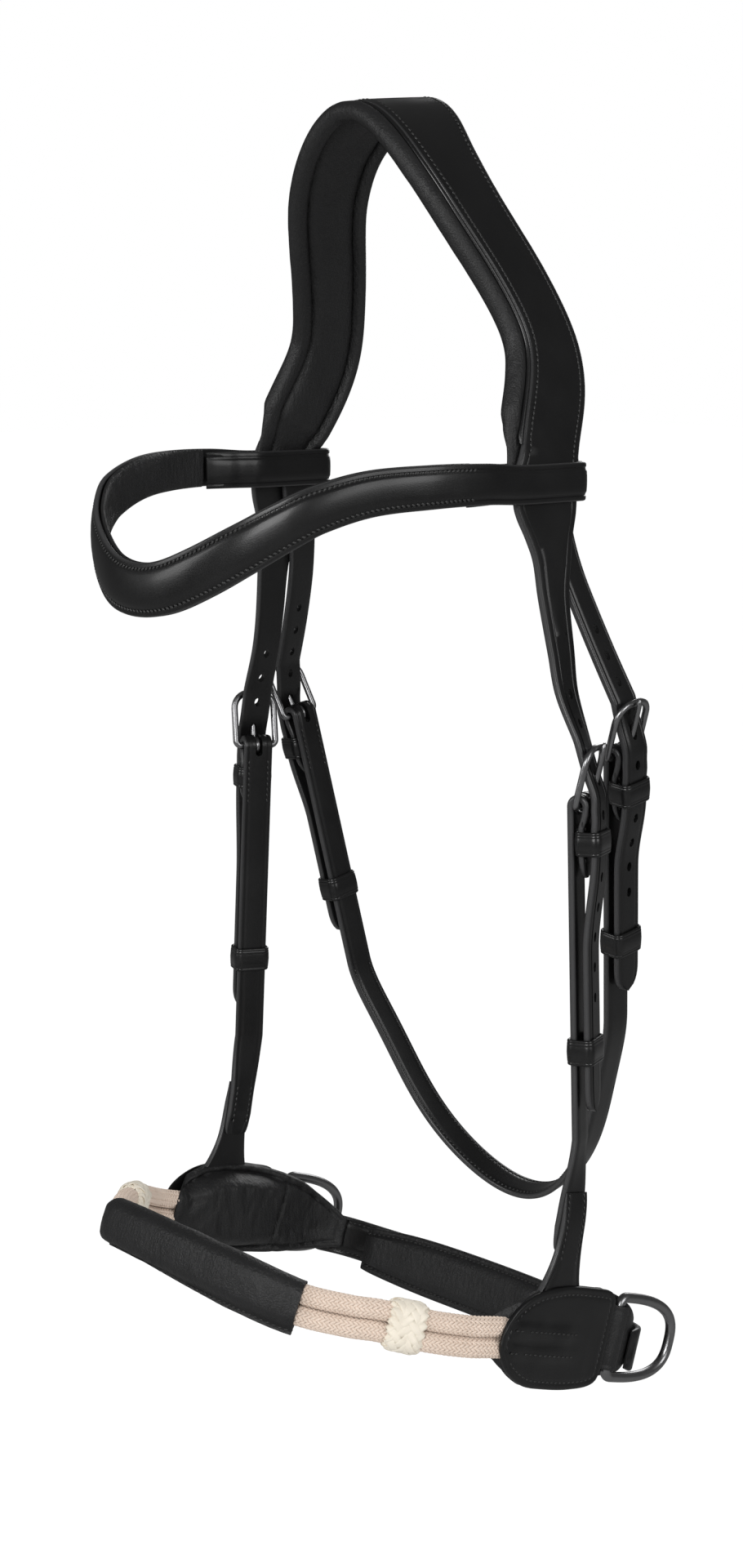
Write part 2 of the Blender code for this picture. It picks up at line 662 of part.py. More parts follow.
# The padding: rolled front edge, channel, crowned middle, channel, rear roll
def padding_outline(width, fade):
    """Outline under the leather; fade 0 is full padding, 1 is thinned to enter a loop."""
    deep = 1.0 - fade
    left, right = -width / 2, width / 2 - REAR_INSET
    thin = LINING_END_DEPTH
    roll = ROLL_RADIUS
    roll_x = left + roll + fade * ROLL_RADIUS
    roll_y = -ROLL_DEPTH * deep - (thin / 2 + 2 * GAP) * fade
    rear = REAR_ROLL_RADIUS
    rear_x = right - rear
    rear_y = -(rear + 2 * GAP) * deep - (thin / 2 + 2 * GAP) * fade
    crown = -max(POLL_PAD * deep, thin)
    channel = crown * CHANNEL_SHARE
    roll_size = roll * deep + thin / 2 * fade
    rear_size = rear * deep + thin / 2 * fade
    points = []
    for angle in (75, 120, 165, 210, 255, 300):
        turn = math.radians(angle)
        points.append((roll_x + roll * math.cos(turn), roll_y + roll_size * math.sin(turn)))
    inner_left = roll_x + roll * 1.15
    inner_right = rear_x - rear * 1.15
    points.append((inner_left, channel))
    for share, lift in PANEL_SHARES:
        points.append((inner_left + (inner_right - inner_left) * share,
                       channel + (crown - channel) * lift))
    points.append((inner_right, channel))
    for angle in (240, 300, 0, 60):
        turn = math.radians(angle)
        points.append((rear_x + rear * math.cos(turn), rear_y + rear_size * math.sin(turn)))
    points.append((left + FRONT_OVERHANG, -2 * GAP))
    return points


lining_bm = bmesh.new()
lining_rings = []
fade_start = BROW_Z + BROW_WIDTH
for frame, row in zip(frames_of(crown), crown):
    if row[2] <= BROW_Z + LINING_END_RISE:
        continue
    fade = max(0.0, min(1.0, (fade_start - row[2]) / (BROW_WIDTH / 2)))
    lining_rings.append(on_frame(frame, padding_outline(row[6], fade)))
loft(lining_bm, lining_rings)
finish("headpiece_lining", lining_bm, LINING_LOOK)


# Throatlatch billets, sewn under the headpiece's leather just below the padding
# Shares from the root to the buckle's bar of the way out, back and down, and of the width
THROAT_BILLET_SHARES = (
    (0.000, 0.00, 0.000, 1.00),
    (0.010, 0.02, 0.110, 0.70),
    (0.050, 0.07, 0.180, 0.38),
    (0.105, 0.20, 0.283, 0.12),
    (0.165, 0.39, 0.377, 0.0),
    (0.370, 0.47, 0.471, 0.0),
    (0.500, 0.57, 0.574, 0.0),
    (0.600, 0.65, 0.642, 0.0))


def throat_billet_rows(place):
    side = place["side"]
    root_y = LEG_Y + (HEADPIECE_WIDTH - THROAT_ROOT_WIDTH) / 2
    root = Vector((
        (HEAD_HALF_WIDTH - GAP - LEATHER) * side, root_y, BROW_Z + LINING_END_RISE - 2 * GAP))
    lined = seat_point(place, 0.0, BILLET_FACE)
    rows = []
    for out, back, down, share in THROAT_BILLET_SHARES:
        point = Vector((
            root.x + (lined.x - root.x) * out,
            root.y + (lined.y - root.y) * back,
            root.z + (lined.z - root.z) * down))
        across = BACK.lerp(place["across"], max(0.0, (down - 0.3) / 0.7))
        width = STRAP_WIDTH + (THROAT_ROOT_WIDTH - STRAP_WIDTH) * share
        rows.append(strap_row(point, across, width))
    buckle = billet_rows(place, THROAT_TIP)
    return curve_rows(rows + [buckle[0]])[:-1] + buckle


for side_name, side in SIDES:
    rows = throat_billet_rows(throat_seats[side_name])
    billet = strap("throat_billet_" + side_name, rows if side > 0 else rows[::-1],
                   0.0, LEATHER, LEATHER_LOOK)
    holes = bmesh.new()
    hole_cutter(holes, rows, throat_seats[side_name],
                THROAT_HOLE_PITCH, THROAT_HOLES_ABOVE, THROAT_HOLES_BELOW)
    cut(billet, holes, "throat_billet_holes_" + side_name)


# Browband: one leather, folded round the headpiece at both ends, with a lining in front
# Shares of the half width, reach, dip and of the widening, from the loop to the middle
BROW_SHARES = (
    (1.045, 0.098, 0.000, 0.00),
    (1.066, 0.250, -0.030, 0.08),
    (1.020, 0.435, -0.022, 0.22),
    (0.903, 0.605, 0.030, 0.35),
    (0.797, 0.745, 0.175, 0.48),
    (0.711, 0.820, 0.330, 0.60),
    (0.563, 0.898, 0.560, 0.80),
    (0.375, 0.956, 0.790, 0.93),
    (0.188, 0.990, 0.950, 1.00),
    (0.000, 1.000, 1.000, 1.00))
# Shares of the loop's inner layer: back from its seam, and out from its inner run
LOOP_SHARES = ((1.00, 0.95), (0.88, 0.90), (0.62, 0.55), (0.36, 0.0))
LOOP_WIDTH = BROW_WIDTH * 0.745
LOOP_OUTER = HEAD_HALF_WIDTH + LEATHER + LOOP_ROOM
LOOP_INNER = HEAD_HALF_WIDTH - GAP - LEATHER - LOOP_SLACK
UP = Vector((0.0, 0.0, 1.0))


def brow_front_rows(shares):
    """Left half of the front, from the loop's straight to the middle, on the back face."""
    rows = []
    for x, y, z, wide in shares:
        place = (x * HEAD_HALF_WIDTH, -y * BROW_REACH, BROW_Z - z * BROW_DIP)
        rows.append(strap_row(place, UP, LOOP_WIDTH + (BROW_WIDTH - LOOP_WIDTH) * wide, wide))
    return rows


def brow_loop_rows():
    """Left loop: inner layer from its seam to the rear fold, then out to the straight."""
    seam_x = BROW_SHARES[1][0] * HEAD_HALF_WIDTH - BROW_LEATHER - 3 * GAP
    fold = (LOOP_OUTER - LOOP_INNER) / 2
    rows = []
    for y, x in LOOP_SHARES:
        place = (LOOP_INNER + (seam_x - LOOP_INNER) * x, -LOOP_SEAM * y, BROW_Z)
        rows.append(strap_row(place, UP, LOOP_WIDTH, 0.0))
    middle = Vector(((LOOP_OUTER + LOOP_INNER) / 2, LOOP_REAR - fold, BROW_Z))
    for k in range(7):
        angle = math.pi * (1 - k / 6)
        place = middle + Vector((fold * math.cos(angle), fold * math.sin(angle), 0.0))
        rows.append(strap_row(place, UP, LOOP_WIDTH, 0.0))
    return rows


loop = brow_loop_rows()
front = curve_rows([loop[-1]] + brow_front_rows(BROW_SHARES))
left_half = loop[:-1] + front
brow_rows = [(-r[0], *r[1:]) for r in left_half] + list(reversed(left_half))[1:]


def band(name, rows, low, high_flat, crown, look):
    """A band with its outer face crowned by the padding under it."""
    bm = bmesh.new()
    rings = []
    for frame, row in zip(frames_of(rows), rows):
        half = row[6] / 2
        swell = crown * min(1.0, row[7] * 2)
        ease = min(EDGE_ROUND, (high_flat - low) * 0.3)
        rings.append(on_frame(frame, [
            (-half + ease, low), (half - ease, low), (half, low + ease),
            (half, high_flat - ease), (half - ease, high_flat),
            (half * 0.55, high_flat + swell * 0.85), (0.0, high_flat + swell),
            (-half * 0.55, high_flat + swell * 0.85), (-half + ease, high_flat),
            (-half, high_flat - ease), (-half, low + ease)]))
    loft(bm, rings)
    return finish(name, bm, look)


band("browband_strap", brow_rows, 0.0, BROW_LEATHER, BROW_CROWN, LEATHER_LOOK)
lining_rows = [row for row in brow_rows if row[1] < -(LOOP_SEAM + CUT_OVERRUN)]
band("browband_lining", lining_rows, -2 * GAP - BROW_LINING, -2 * GAP, 0.0, LINING_LOOK)


# Cheekpieces: the strap folds over the buckle's bar and runs down to the side piece
# Shares from the straight run's end to the noseband of the way out, forward and down
SIDE_SHARES = (
    (0.00, 0.00, 0.00),
    (0.20, 0.25, 0.245),
    (0.20, 0.48, 0.485),
    (0.10, 0.70, 0.680),
    (0.00, 0.88, 0.850),
    (0.00, 1.00, 1.000))


def nose_point(x, y, z):
    """A place in the noseband's own plane turned into the bridle's frame."""
    c, s = math.cos(NOSE_TILT), math.sin(NOSE_TILT)
    return Vector((x, y * c + z * s - NOSE_AHEAD, z * c - y * s - NOSE_DROP))


def cheek_interface(place):
    """Where the cheek strap's outer face meets the side piece's inner face, going down."""
    start = seat_point(place, -CHEEK_RUN, INNER_RUN_FACE)
    end = nose_point((PAD_PLANE - 2 * GAP - LEATHER) * place["side"], SIDE_FOOT_Y, SIDE_FOOT_Z)
    rows = []
    for out, ahead, down in SIDE_SHARES:
        point = Vector((
            start.x + (end.x - start.x) * ahead + SIDE_BOW * out * place["side"],
            start.y + (end.y - start.y) * ahead,
            start.z + (end.z - start.z) * down))
        rows.append(strap_row(point, place["across"], STRAP_WIDTH))
    return rows


def along_to(rows, length):
    """The part of the rows down to the given length."""
    kept = [rows[0]]
    gone = 0.0
    for a, b in zip(rows, rows[1:]):
        step = (Vector(b[:3]) - Vector(a[:3])).length
        if gone + step >= length:
            t = (length - gone) / step
            kept.append(tuple(p + (q - p) * t for p, q in zip(a, b)))
            return kept
        gone += step
        kept.append(b)
    return kept


def run_rows(place, length):
    """Straight run below the buckle, on the face that touches the bar."""
    return [strap_row(seat_point(place, -s, INNER_RUN_FACE), place["across"], STRAP_WIDTH, LEATHER)
            for s in (length, length / 2, EYE_RADIUS * 2)]


for side_name, side in SIDES:
    place = cheek_seats[side_name]
    interface = curve_rows(cheek_interface(place))
    inner = [(*row, LEATHER) for row in along_to(interface, SIDE_SEAM * 1.85)]
    rows = list(reversed(inner)) + run_rows(place, CHEEK_RUN)[1:] + folded_rows(place)
    if side < 0:
        rows.reverse()
    cheek = folded_strap("cheek_strap_" + side_name, rows, LEATHER_LOOK)
    slot = bmesh.new()
    slot_cutter(slot, place)
    cut(cheek, slot, "cheek_slot_" + side_name)


# Side pieces: tongue over the cheek strap's end, widening to a foot sewn into the pad
for side_name, side in SIDES:
    place = cheek_seats[side_name]
    interface = curve_rows(cheek_interface(place))
    above = along_to(interface, SIDE_SEAM * 0.85)
    tongue = [above[-1]] + interface[len(above) - 1:]
    foot_way = Vector((0.0, math.cos(NOSE_TILT), -math.sin(NOSE_TILT)))
    rows = []
    for row in tongue:
        t = (tongue[0][2] - row[2]) / (tongue[0][2] - tongue[-1][2])
        across = Vector(row[3:6]).lerp(foot_way, max(0.0, min(1.0, (t - 0.56) / 0.26)))
        width = STRAP_WIDTH + (SIDE_FOOT - STRAP_WIDTH) * max(0.0, (t - 0.25) / 0.75) ** 2
        rows.append(strap_row(row[:3], across, width))
    if side < 0:
        rows.reverse()
    strap("side_piece_" + side_name, rows, 2 * GAP, 2 * GAP + LEATHER * 0.9, LEATHER_LOOK)


# Throatlatch: one strap, folded over a buckle at each end
# Shares of the run's half span, of the way back and of the way down
THROAT_SHARES = (
    (0.822, 0.311, 0.343),
    (0.698, 0.489, 0.565),
    (0.568, 0.630, 0.724),
    (0.367, 0.798, 0.867),
    (0.189, 0.933, 0.957))
LOW_ACROSS = Vector((0.0, 0.963, 0.269))


def throat_half(place):
    """From the bottom of the throatlatch up to the buckle's bar and down the folded end."""
    end = seat_point(place, -THROAT_RUN, INNER_RUN_FACE)
    rows = []
    for x, y, z in reversed(THROAT_SHARES):
        point = Vector((end.x * x, end.y + (THROAT_BOTTOM_BACK - end.y) * y,
                        end.z + (-THROAT_BOTTOM_DROP - end.z) * z))
        across = LOW_ACROSS.lerp(place["across"], x ** 2)
        rows.append(strap_row(point, across, STRAP_WIDTH, LEATHER))
    return rows, run_rows(place, THROAT_RUN) + folded_rows(place)


left_low, left_run = throat_half(throat_seats["left"])
right_low, right_run = throat_half(throat_seats["right"])
bottom = strap_row(
    (0.0, THROAT_BOTTOM_BACK, -THROAT_BOTTOM_DROP), LOW_ACROSS, STRAP_WIDTH, LEATHER)
right_run.reverse()
right_low.reverse()
low = curve_rows([right_run[-1]] + right_low + [bottom] + left_low + [left_run[0]])
throat = folded_strap("throat_strap", right_run[:-1] + low + left_run[1:], LEATHER_LOOK)
slots = bmesh.new()
for side_name, side in SIDES:
    slot_cutter(slots, throat_seats[side_name])
cut(throat, slots, "throat_slots")


# Buckles, prongs and keepers, each built in its strap's own frame
def frame_point(x, f, g):
    """A place in the leaning buckle frame, in the seat's frame."""
    s, n = lean_point(f, g)
    return Vector((x, s, n))


def buckle_frame(name, parent):
    w = BUCKLE_HALF_WIDTH
    x_way = Vector((1.0, 0.0, 0.0))
    f_way = frame_point(0.0, 1.0, 0.0)
    side = x_way.cross(f_way)
    points = []
    for x, f, radius, start in (
            (w, 0.0, BAR_CORNER, -90), (w, BUCKLE_LENGTH, BUCKLE_CORNER, 0),
            (-w, BUCKLE_LENGTH, BUCKLE_CORNER, 90), (-w, 0.0, BAR_CORNER, 180)):
        centre = frame_point(x - math.copysign(radius, x), abs(f - radius), 0.0)
        points += arc(centre, x_way, f_way, radius, start, start + 90, 3)
    bm = bmesh.new()
    wire(bm, points, WIRE_RADIUS, side, closed=True)
    return finish(name, bm, METAL_LOOK, parent=parent)


def prong(name, parent):
    f_way = frame_point(0.0, 1.0, 0.0)
    g_way = frame_point(0.0, 0.0, 1.0)
    points = list(reversed(arc(Vector(), f_way, g_way, EYE_RADIUS, 90, 365, 9)))
    points.append(frame_point(0.0, BUCKLE_LENGTH / 2, EYE_RADIUS))
    points.append(frame_point(0.0, BUCKLE_LENGTH + PRONG_OVERRUN, EYE_RADIUS))
    bm = bmesh.new()
    wire(bm, points, PRONG_RADIUS, f_way.cross(g_way))
    return finish(name, bm, METAL_LOOK, parent=parent)


def rounded_loop(half_wide, low, high, corner):
    return [
        (half_wide - corner, low), (half_wide, low + corner),
        (half_wide, high - corner), (half_wide - corner, high),
        (corner - half_wide, high), (-half_wide, high - corner),
        (-half_wide, low + corner), (corner - half_wide, low)]


def keeper(name, middle, height, low, high, parent):
    """A leather loop round layers between the low and high levels."""
    half_wide = STRAP_WIDTH / 2 + GAP
    inner = rounded_loop(half_wide, low, high, GAP / 2)
    outer = rounded_loop(half_wide + KEEPER_WALL, low - KEEPER_WALL, high + KEEPER_WALL,
                         KEEPER_WALL)
    bm = bmesh.new()
    levels = (-height / 2, height / 2)
    ring_loft(bm, [[Vector((x, middle + s, n)) for x, n in outer] for s in levels],
              [[Vector((x, middle + s, n)) for x, n in inner] for s in levels])
    return finish(name, bm, LEATHER_LOOK, origin=(0.0, middle, (low + high) / 2), parent=parent)


for strap_name, seats, slider_at in (
        ("cheek", cheek_seats, CHEEK_SLIDER), ("throat", throat_seats, THROAT_SLIDER)):
    for side_name, side in SIDES:
        tag = strap_name + "_" + side_name
        base = seat_empty(tag + "_seat", seats[side_name])
        buckle_frame(tag + "_buckle", base)
        prong(tag + "_prong", base)
        keeper(tag + "_keeper", -(KEEPER_TOP + KEEPER_HEIGHT / 2), KEEPER_HEIGHT,
               KEEPER_INNER + KEEPER_WALL, BILLET_FACE + LEATHER + GAP, base)
        keeper(tag + "_slider", -slider_at, SLIDER_HEIGHT,
               INNER_RUN_FACE - LEATHER - GAP, BILLET_LOW_FACE + LEATHER + GAP, base)


# Noseband, in its own plane: +X to the left, +Y to the chin, +Z up the face
nose = bpy.data.objects.new("noseband_frame", None)
bpy.context.collection.objects.link(nose)
nose.location = (0.0, -NOSE_AHEAD, -NOSE_DROP)
nose.rotation_euler = (-NOSE_TILT, 0.0, 0.0)
bpy.context.view_layer.update()

# Shares of the pad's length, low edge, high edge and outer and inner face, front to back
PAD_SHARES = (
    (-0.443, -0.345, 0.322, 0.000, 0.62),
    (-0.380, -0.405, 0.390, 0.000, 0.80),
    (-0.295, -0.460, 0.448, 0.000, 0.92),
    (-0.094, -0.487, 0.517, 0.000, 1.00),
    (0.134, -0.460, 0.529, 0.000, 1.00),
    (0.310, -0.405, 0.505, 0.000, 0.93),
    (0.340, -0.395, 0.495, 0.000, 0.92),
    (0.358, -0.388, 0.488, 0.434, 0.91),
    (0.490, -0.365, 0.440, 0.434, 0.86),
    (0.617, -0.330, 0.356, 0.434, 0.88),
    (0.752, -0.270, 0.230, 0.745, 1.05),
    (0.846, -0.220, 0.110, 1.097, 1.33))
PAD_OUTLINE_SHARES = (
    (-0.550, -0.046), (-0.510, 0.184), (-0.416, 0.345), (-0.295, 0.448), (-0.094, 0.517),
    (0.134, 0.529), (0.300, 0.506), (0.336, 0.400), (0.336, -0.240), (0.300, -0.400),
    (0.107, -0.471), (-0.134, -0.483), (-0.295, -0.460), (-0.443, -0.345), (-0.523, -0.184))
# Shares of the pad's depth beyond its rim, and of its height, over the cushion
CUSHION_SHARES = ((0.00, 0.50), (0.52, 0.42), (0.88, 0.24), (1.00, 0.0))


def pad_lining(name, side):
    rings = []
    for y, low, high, outer, inner in PAD_SHARES:
        middle = (low + high) / 2 * PAD_HEIGHT
        height = (high - low) * PAD_HEIGHT
        face = PAD_PLANE - outer * PAD_DEPTH
        deep = max((inner - outer) * PAD_DEPTH, PAD_RIM)
        rim = min(PAD_RIM, deep / 2)
        ring = [(face, middle + height / 2)]
        ring += [(face - rim - (deep - rim) * a, middle + height * b) for a, b in CUSHION_SHARES]
        ring += [(face - rim - (deep - rim) * a, middle - height * b)
                 for a, b in reversed(CUSHION_SHARES[:-1])]
        ring.append((face, middle - height / 2))
        rings.append([Vector((x * side, y * PAD_LENGTH, z)) for x, z in ring])
    bm = bmesh.new()
    loft(bm, rings)
    return finish(name, bm, LINING_LOOK, parent=nose)


def local_box(bm, x_range, y_range, z_range, side):
    frame = (Vector(), Vector((side, 0.0, 0.0)), Vector((0.0, 1.0, 0.0)))
    if side < 0:
        z_range = tuple(-z for z in z_range)
    box(bm, frame, x_range, y_range, z_range)


for side_name, side in SIDES:
    lining = pad_lining("pad_lining_" + side_name, side)
    rope_room = ROPE_RADIUS * 2 + GAP * 1.5
    tab_low = RING_RISE - TAB_HEIGHT / 2 - GAP
    tab_high = RING_RISE + TAB_HEIGHT / 2 + GAP
    pockets = (
        ("rope_pocket_", (PAD_PLANE - ROPE_SINK - ROPE_RADIUS - GAP, PAD_PLANE + GAP),
         (-PAD_LENGTH, ROPE_IN - PAD_LENGTH / 2 - GAP),
         (-ROPE_DROP - rope_room, -ROPE_DROP + rope_room)),
        ("tab_pocket_", (RING_PLANE - TAB_LEATHER - GAP * 1.5, PAD_PLANE + GAP),
         (RING_ARM_Y - TAB_IN - TAB_FOLD - GAP, RING_ARM_Y), (tab_low, tab_high)),
        ("foot_pocket_", (PAD_PLANE - 3 * GAP - LEATHER, PAD_PLANE + GAP),
         (SIDE_FOOT_Y - SIDE_FOOT / 2 - FOOT_ROOM, SIDE_FOOT_Y + SIDE_FOOT / 2 + FOOT_ROOM),
         (SIDE_FOOT_Z - FOOT_ROOM, PAD_HEIGHT)))
    for pocket_name, x_range, y_range, z_range in pockets:
        pocket = bmesh.new()
        local_box(pocket, x_range, y_range, z_range, side)
        cut(lining, pocket, pocket_name + side_name)

    inset = FACING_INSET / PAD_HEIGHT
    centre = sum(a for a, b in PAD_OUTLINE_SHARES) / len(PAD_OUTLINE_SHARES)
    rings = []
    for level, shrink in ((GAP, 0.0), (FACING * 0.7, 0.0), (FACING, inset / 3)):
        ring = []
        for a, b in PAD_OUTLINE_SHARES:
            a = centre + (a - centre) * (1 - inset - shrink)
            b = b * (1 - 2 * inset - shrink * 2)
            ring.append(Vector(((PAD_PLANE + level) * side, a * PAD_LENGTH, b * PAD_HEIGHT)))
        rings.append(ring)
    bm = bmesh.new()
    loft(bm, rings)
    finish("pad_facing_" + side_name, bm, LEATHER_LOOK, parent=nose)


# Two ropes side by side over the nose, held in a sleeve, two knots and the pads
# Shares of the pads' plane, of the noseband's reach, of the rope's radius and of the right lift
ROPE_SHARES = (
    (0.000, -1.000, 0.20, 0.25),
    (0.365, -0.930, -0.45, 0.60),
    (0.538, -0.829, -1.20, 0.85),
    (0.680, -0.720, -1.15, 1.00))
ROPE_REAR_SHARES = (
    (0.938, -0.400, -0.70, 0.35),
    (0.958, -0.310, -0.47, 0.00),
    (0.958, -0.155, -0.35, 0.00))
FACE_UP = Vector((0.0, 0.0, 1.0))


def rope_row(shares, lift, lead):
    x, y, z, raised = shares
    return strap_row((x * PAD_PLANE, y * NOSE_REACH - lead * raised,
                      z * ROPE_RADIUS + lift * raised), FACE_UP, 0.0)


def rope_half(lift, lead):
    """From the nose to inside a pad, on the left, with the right side's lift and lead."""
    rows = [rope_row(shares, lift, lead) for shares in ROPE_SHARES]
    for step in (-KNOT_LENGTH * 0.75, KNOT_LENGTH * 0.75):
        rows.append(strap_row(
            (KNOT_HALF_SPAN + math.cos(KNOT_HEADING) * step,
             math.sin(KNOT_HEADING) * step - KNOT_AHEAD - lead, lift - KNOT_DROP), FACE_UP, 0.0))
    rows += [rope_row(shares, lift, lead) for shares in ROPE_REAR_SHARES]
    rows.append(strap_row((PAD_PLANE - ROPE_SINK, ROPE_IN - PAD_LENGTH / 2 - 2 * GAP, -ROPE_DROP),
                          FACE_UP, 0.0))
    return rows


right_rope = mirrored(rope_half(RIGHT_LIFT, RIGHT_LEAD))
route = curve_rows(right_rope[:-1] + rope_half(0.0, 0.0)[1:], 13.0)


def round_section(radius, middle, sides):
    turn = math.pi / sides
    return [(middle + radius * math.sin(2 * math.pi * k / sides + turn),
             radius * math.cos(2 * math.pi * k / sides + turn)) for k in range(sides)]


for rope_name, side in (("rope_upper", 1.0), ("rope_lower", -1.0)):
    middle = (ROPE_RADIUS + GAP / 2) * side
    bm = bmesh.new()
    loft(bm, [on_frame(frame, round_section(ROPE_RADIUS, middle, 8)) for frame in frames_of(route)])
    finish(rope_name, bm, (ROPE_BEIGE, 0.8), parent=nose)

BORE_HALF_THICK = ROPE_RADIUS + GAP
BORE_HALF_HIGH = ROPE_RADIUS * 2 + GAP * 2


def stadium(half_high, half_thick, fin=0.0):
    """Cross-section round both ropes, twelve points, with a sewn fin along the bottom."""
    straight = half_high - half_thick
    points = []
    for base, middle in ((0, straight), (180, -straight)):
        for angle in (90, 54, 18, -18, -54, -90):
            turn = math.radians(base + angle)
            points.append((middle + half_thick * math.cos(turn) / math.cos(math.radians(18)),
                           half_thick * math.sin(turn)))
    if fin > 0.0:
        for i in (8, 9):
            a, b = points[i]
            points[i] = (a - fin, math.copysign(SLEEVE_FIN_THICKNESS / 2, b))
    return points


def clip_route(rows, half_span):
    """The middle part of the route, between the same distance to the right and left."""
    kept = [row for row in rows if abs(row[0]) < half_span]
    ends = []
    for far, near, reach in (
            (max(row for row in rows if row[0] <= -half_span), kept[0], -half_span),
            (min(row for row in rows if row[0] >= half_span), kept[-1], half_span)):
        t = (reach - far[0]) / (near[0] - far[0])
        ends.append(tuple(p + (q - p) * t for p, q in zip(far, near)))
    return [ends[0]] + kept + [ends[1]]


sleeve_rows = clip_route(route, SLEEVE_HALF_SPAN)
outers, inners = [], []
for frame, row in zip(frames_of(sleeve_rows), sleeve_rows):
    swell = 1.0 - (abs(row[0]) / SLEEVE_HALF_SPAN) ** 2
    high = SLEEVE_HEIGHT * (SLEEVE_END_SHARE + (1 - SLEEVE_END_SHARE) * swell) / 2
    outers.append(on_frame(frame, stadium(high, SLEEVE_THICKNESS / 2, SLEEVE_FIN)))
    inners.append(on_frame(frame, stadium(BORE_HALF_HIGH, BORE_HALF_THICK)))
bm = bmesh.new()
ring_loft(bm, outers, inners)
finish("nose_sleeve", bm, LEATHER_LOOK, parent=nose)

# Shares of the knot's half length and of its thickness beyond the bore
KNOT_SHARES = ((-1.0, 0.45), (-0.82, 0.80), (-0.5, 1.0), (0.5, 1.0), (0.82, 0.80), (1.0, 0.45))
for side_name, side in SIDES:
    heading = Vector((math.cos(KNOT_HEADING) * side, math.sin(KNOT_HEADING), 0.0))
    middle = Vector((KNOT_HALF_SPAN * side, -KNOT_AHEAD, -KNOT_DROP))
    if side < 0:
        middle += Vector((0.0, -RIGHT_LEAD, RIGHT_LIFT))
    across_out = (middle, FACE_UP, heading.cross(FACE_UP))
    outers, inners = [], []
    for along, full in KNOT_SHARES:
        frame = (middle + heading * KNOT_LENGTH / 2 * along, *across_out[1:])
        high = BORE_HALF_HIGH + (KNOT_HEIGHT / 2 - BORE_HALF_HIGH) * full
        thick = BORE_HALF_THICK + (KNOT_THICKNESS / 2 - BORE_HALF_THICK) * full
        outers.append(on_frame(frame, stadium(high, thick)))
        inners.append(on_frame(frame, stadium(BORE_HALF_HIGH, BORE_HALF_THICK)))
    bm = bmesh.new()
    ring_loft(bm, outers, inners)
    finish("rope_knot_" + side_name, bm, (KNOT_IVORY, 0.75), origin=middle, parent=nose)


# Rein rings in folded tabs, behind the pads
RING_SHARES = (0.10, 0.22, 0.36, 0.50, 0.64, 0.78, 0.90)
for side_name, side in SIDES:
    arm = Vector((RING_PLANE * side, RING_ARM_Y, RING_RISE))
    back, up = Vector((0.0, 1.0, 0.0)), FACE_UP
    half_high = RING_HEIGHT / 2
    corner = RING_CORNER
    points = arc(arm + back * corner - up * (half_high - corner), back, up, corner, 270, 180, 3)
    points += arc(arm + back * corner + up * (half_high - corner), back, up, corner, 180, 90, 3)
    for share in RING_SHARES:
        angle = math.pi * share
        points.append(arm + back * (corner + (RING_DEPTH - corner) * math.sin(angle))
                      + up * half_high * math.cos(angle))
    bm = bmesh.new()
    wire(bm, points, RING_WIRE, Vector((1.0, 0.0, 0.0)), closed=True, sides=8)
    finish("rein_ring_" + side_name, bm, METAL_LOOK, origin=arm, parent=nose)

    loop_radius = RING_WIRE + GAP
    neck = TAB_FOLD
    path = [(neck + TAB_IN, GAP / 2), (neck, GAP / 2)]
    for angle in (140, 100, 60, 20, -20, -60, -100, -140):
        turn = math.radians(angle)
        path.append((-loop_radius * math.cos(turn), loop_radius * math.sin(turn)))
    path += [(neck, -GAP / 2), (neck + TAB_IN, -GAP / 2)]
    rows = [strap_row(arm + Vector((out * side, -ahead, 0.0)), FACE_UP, TAB_HEIGHT)
            for ahead, out in path]
    if side < 0:
        rows.reverse()
    strap("ring_tab_" + side_name, rows, 0.0, TAB_LEATHER, LEATHER_LOOK, parent=nose,
          corner=TAB_LEATHER / 5)


# Chin strap with its pad, joining the two cheek pads behind the jaw
# Shares of the pads' plane and of the chin's reach
CHIN_SHARES = (
    (0.929, 0.646), (0.912, 0.698), (0.862, 0.786), (0.802, 0.832), (0.729, 0.863),
    (0.547, 0.932), (0.273, 0.981), (0.000, 1.000))
chin_half = [strap_row((x * PAD_PLANE, y * CHIN_REACH, -CHIN_DROP), FACE_UP, CHIN_STRAP_WIDTH)
             for x, y in reversed(CHIN_SHARES)]
chin = curve_rows(mirrored(chin_half)[:-1] + chin_half)
strap("chin_strap", chin, -CHIN_STRAP, 0.0, LEATHER_LOOK, parent=nose)
pad_rows = []
for row in clip_route(chin, CHIN_PAD_HALF_SPAN):
    share = abs(row[0]) / CHIN_PAD_HALF_SPAN
    width = CHIN_PAD_WIDTH + (CHIN_PAD_END_WIDTH - CHIN_PAD_WIDTH) * share ** 4
    pad_rows.append((*row[:2], row[2] - CHIN_PAD_DROP, *row[3:6], width))
strap("chin_pad", pad_rows, GAP, GAP + CHIN_PAD, LINING_LOOK, parent=nose,
      corner=CHIN_PAD * 0.28)
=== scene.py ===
import math

import bmesh
import bpy
from mathutils import Matrix, Vector, noise


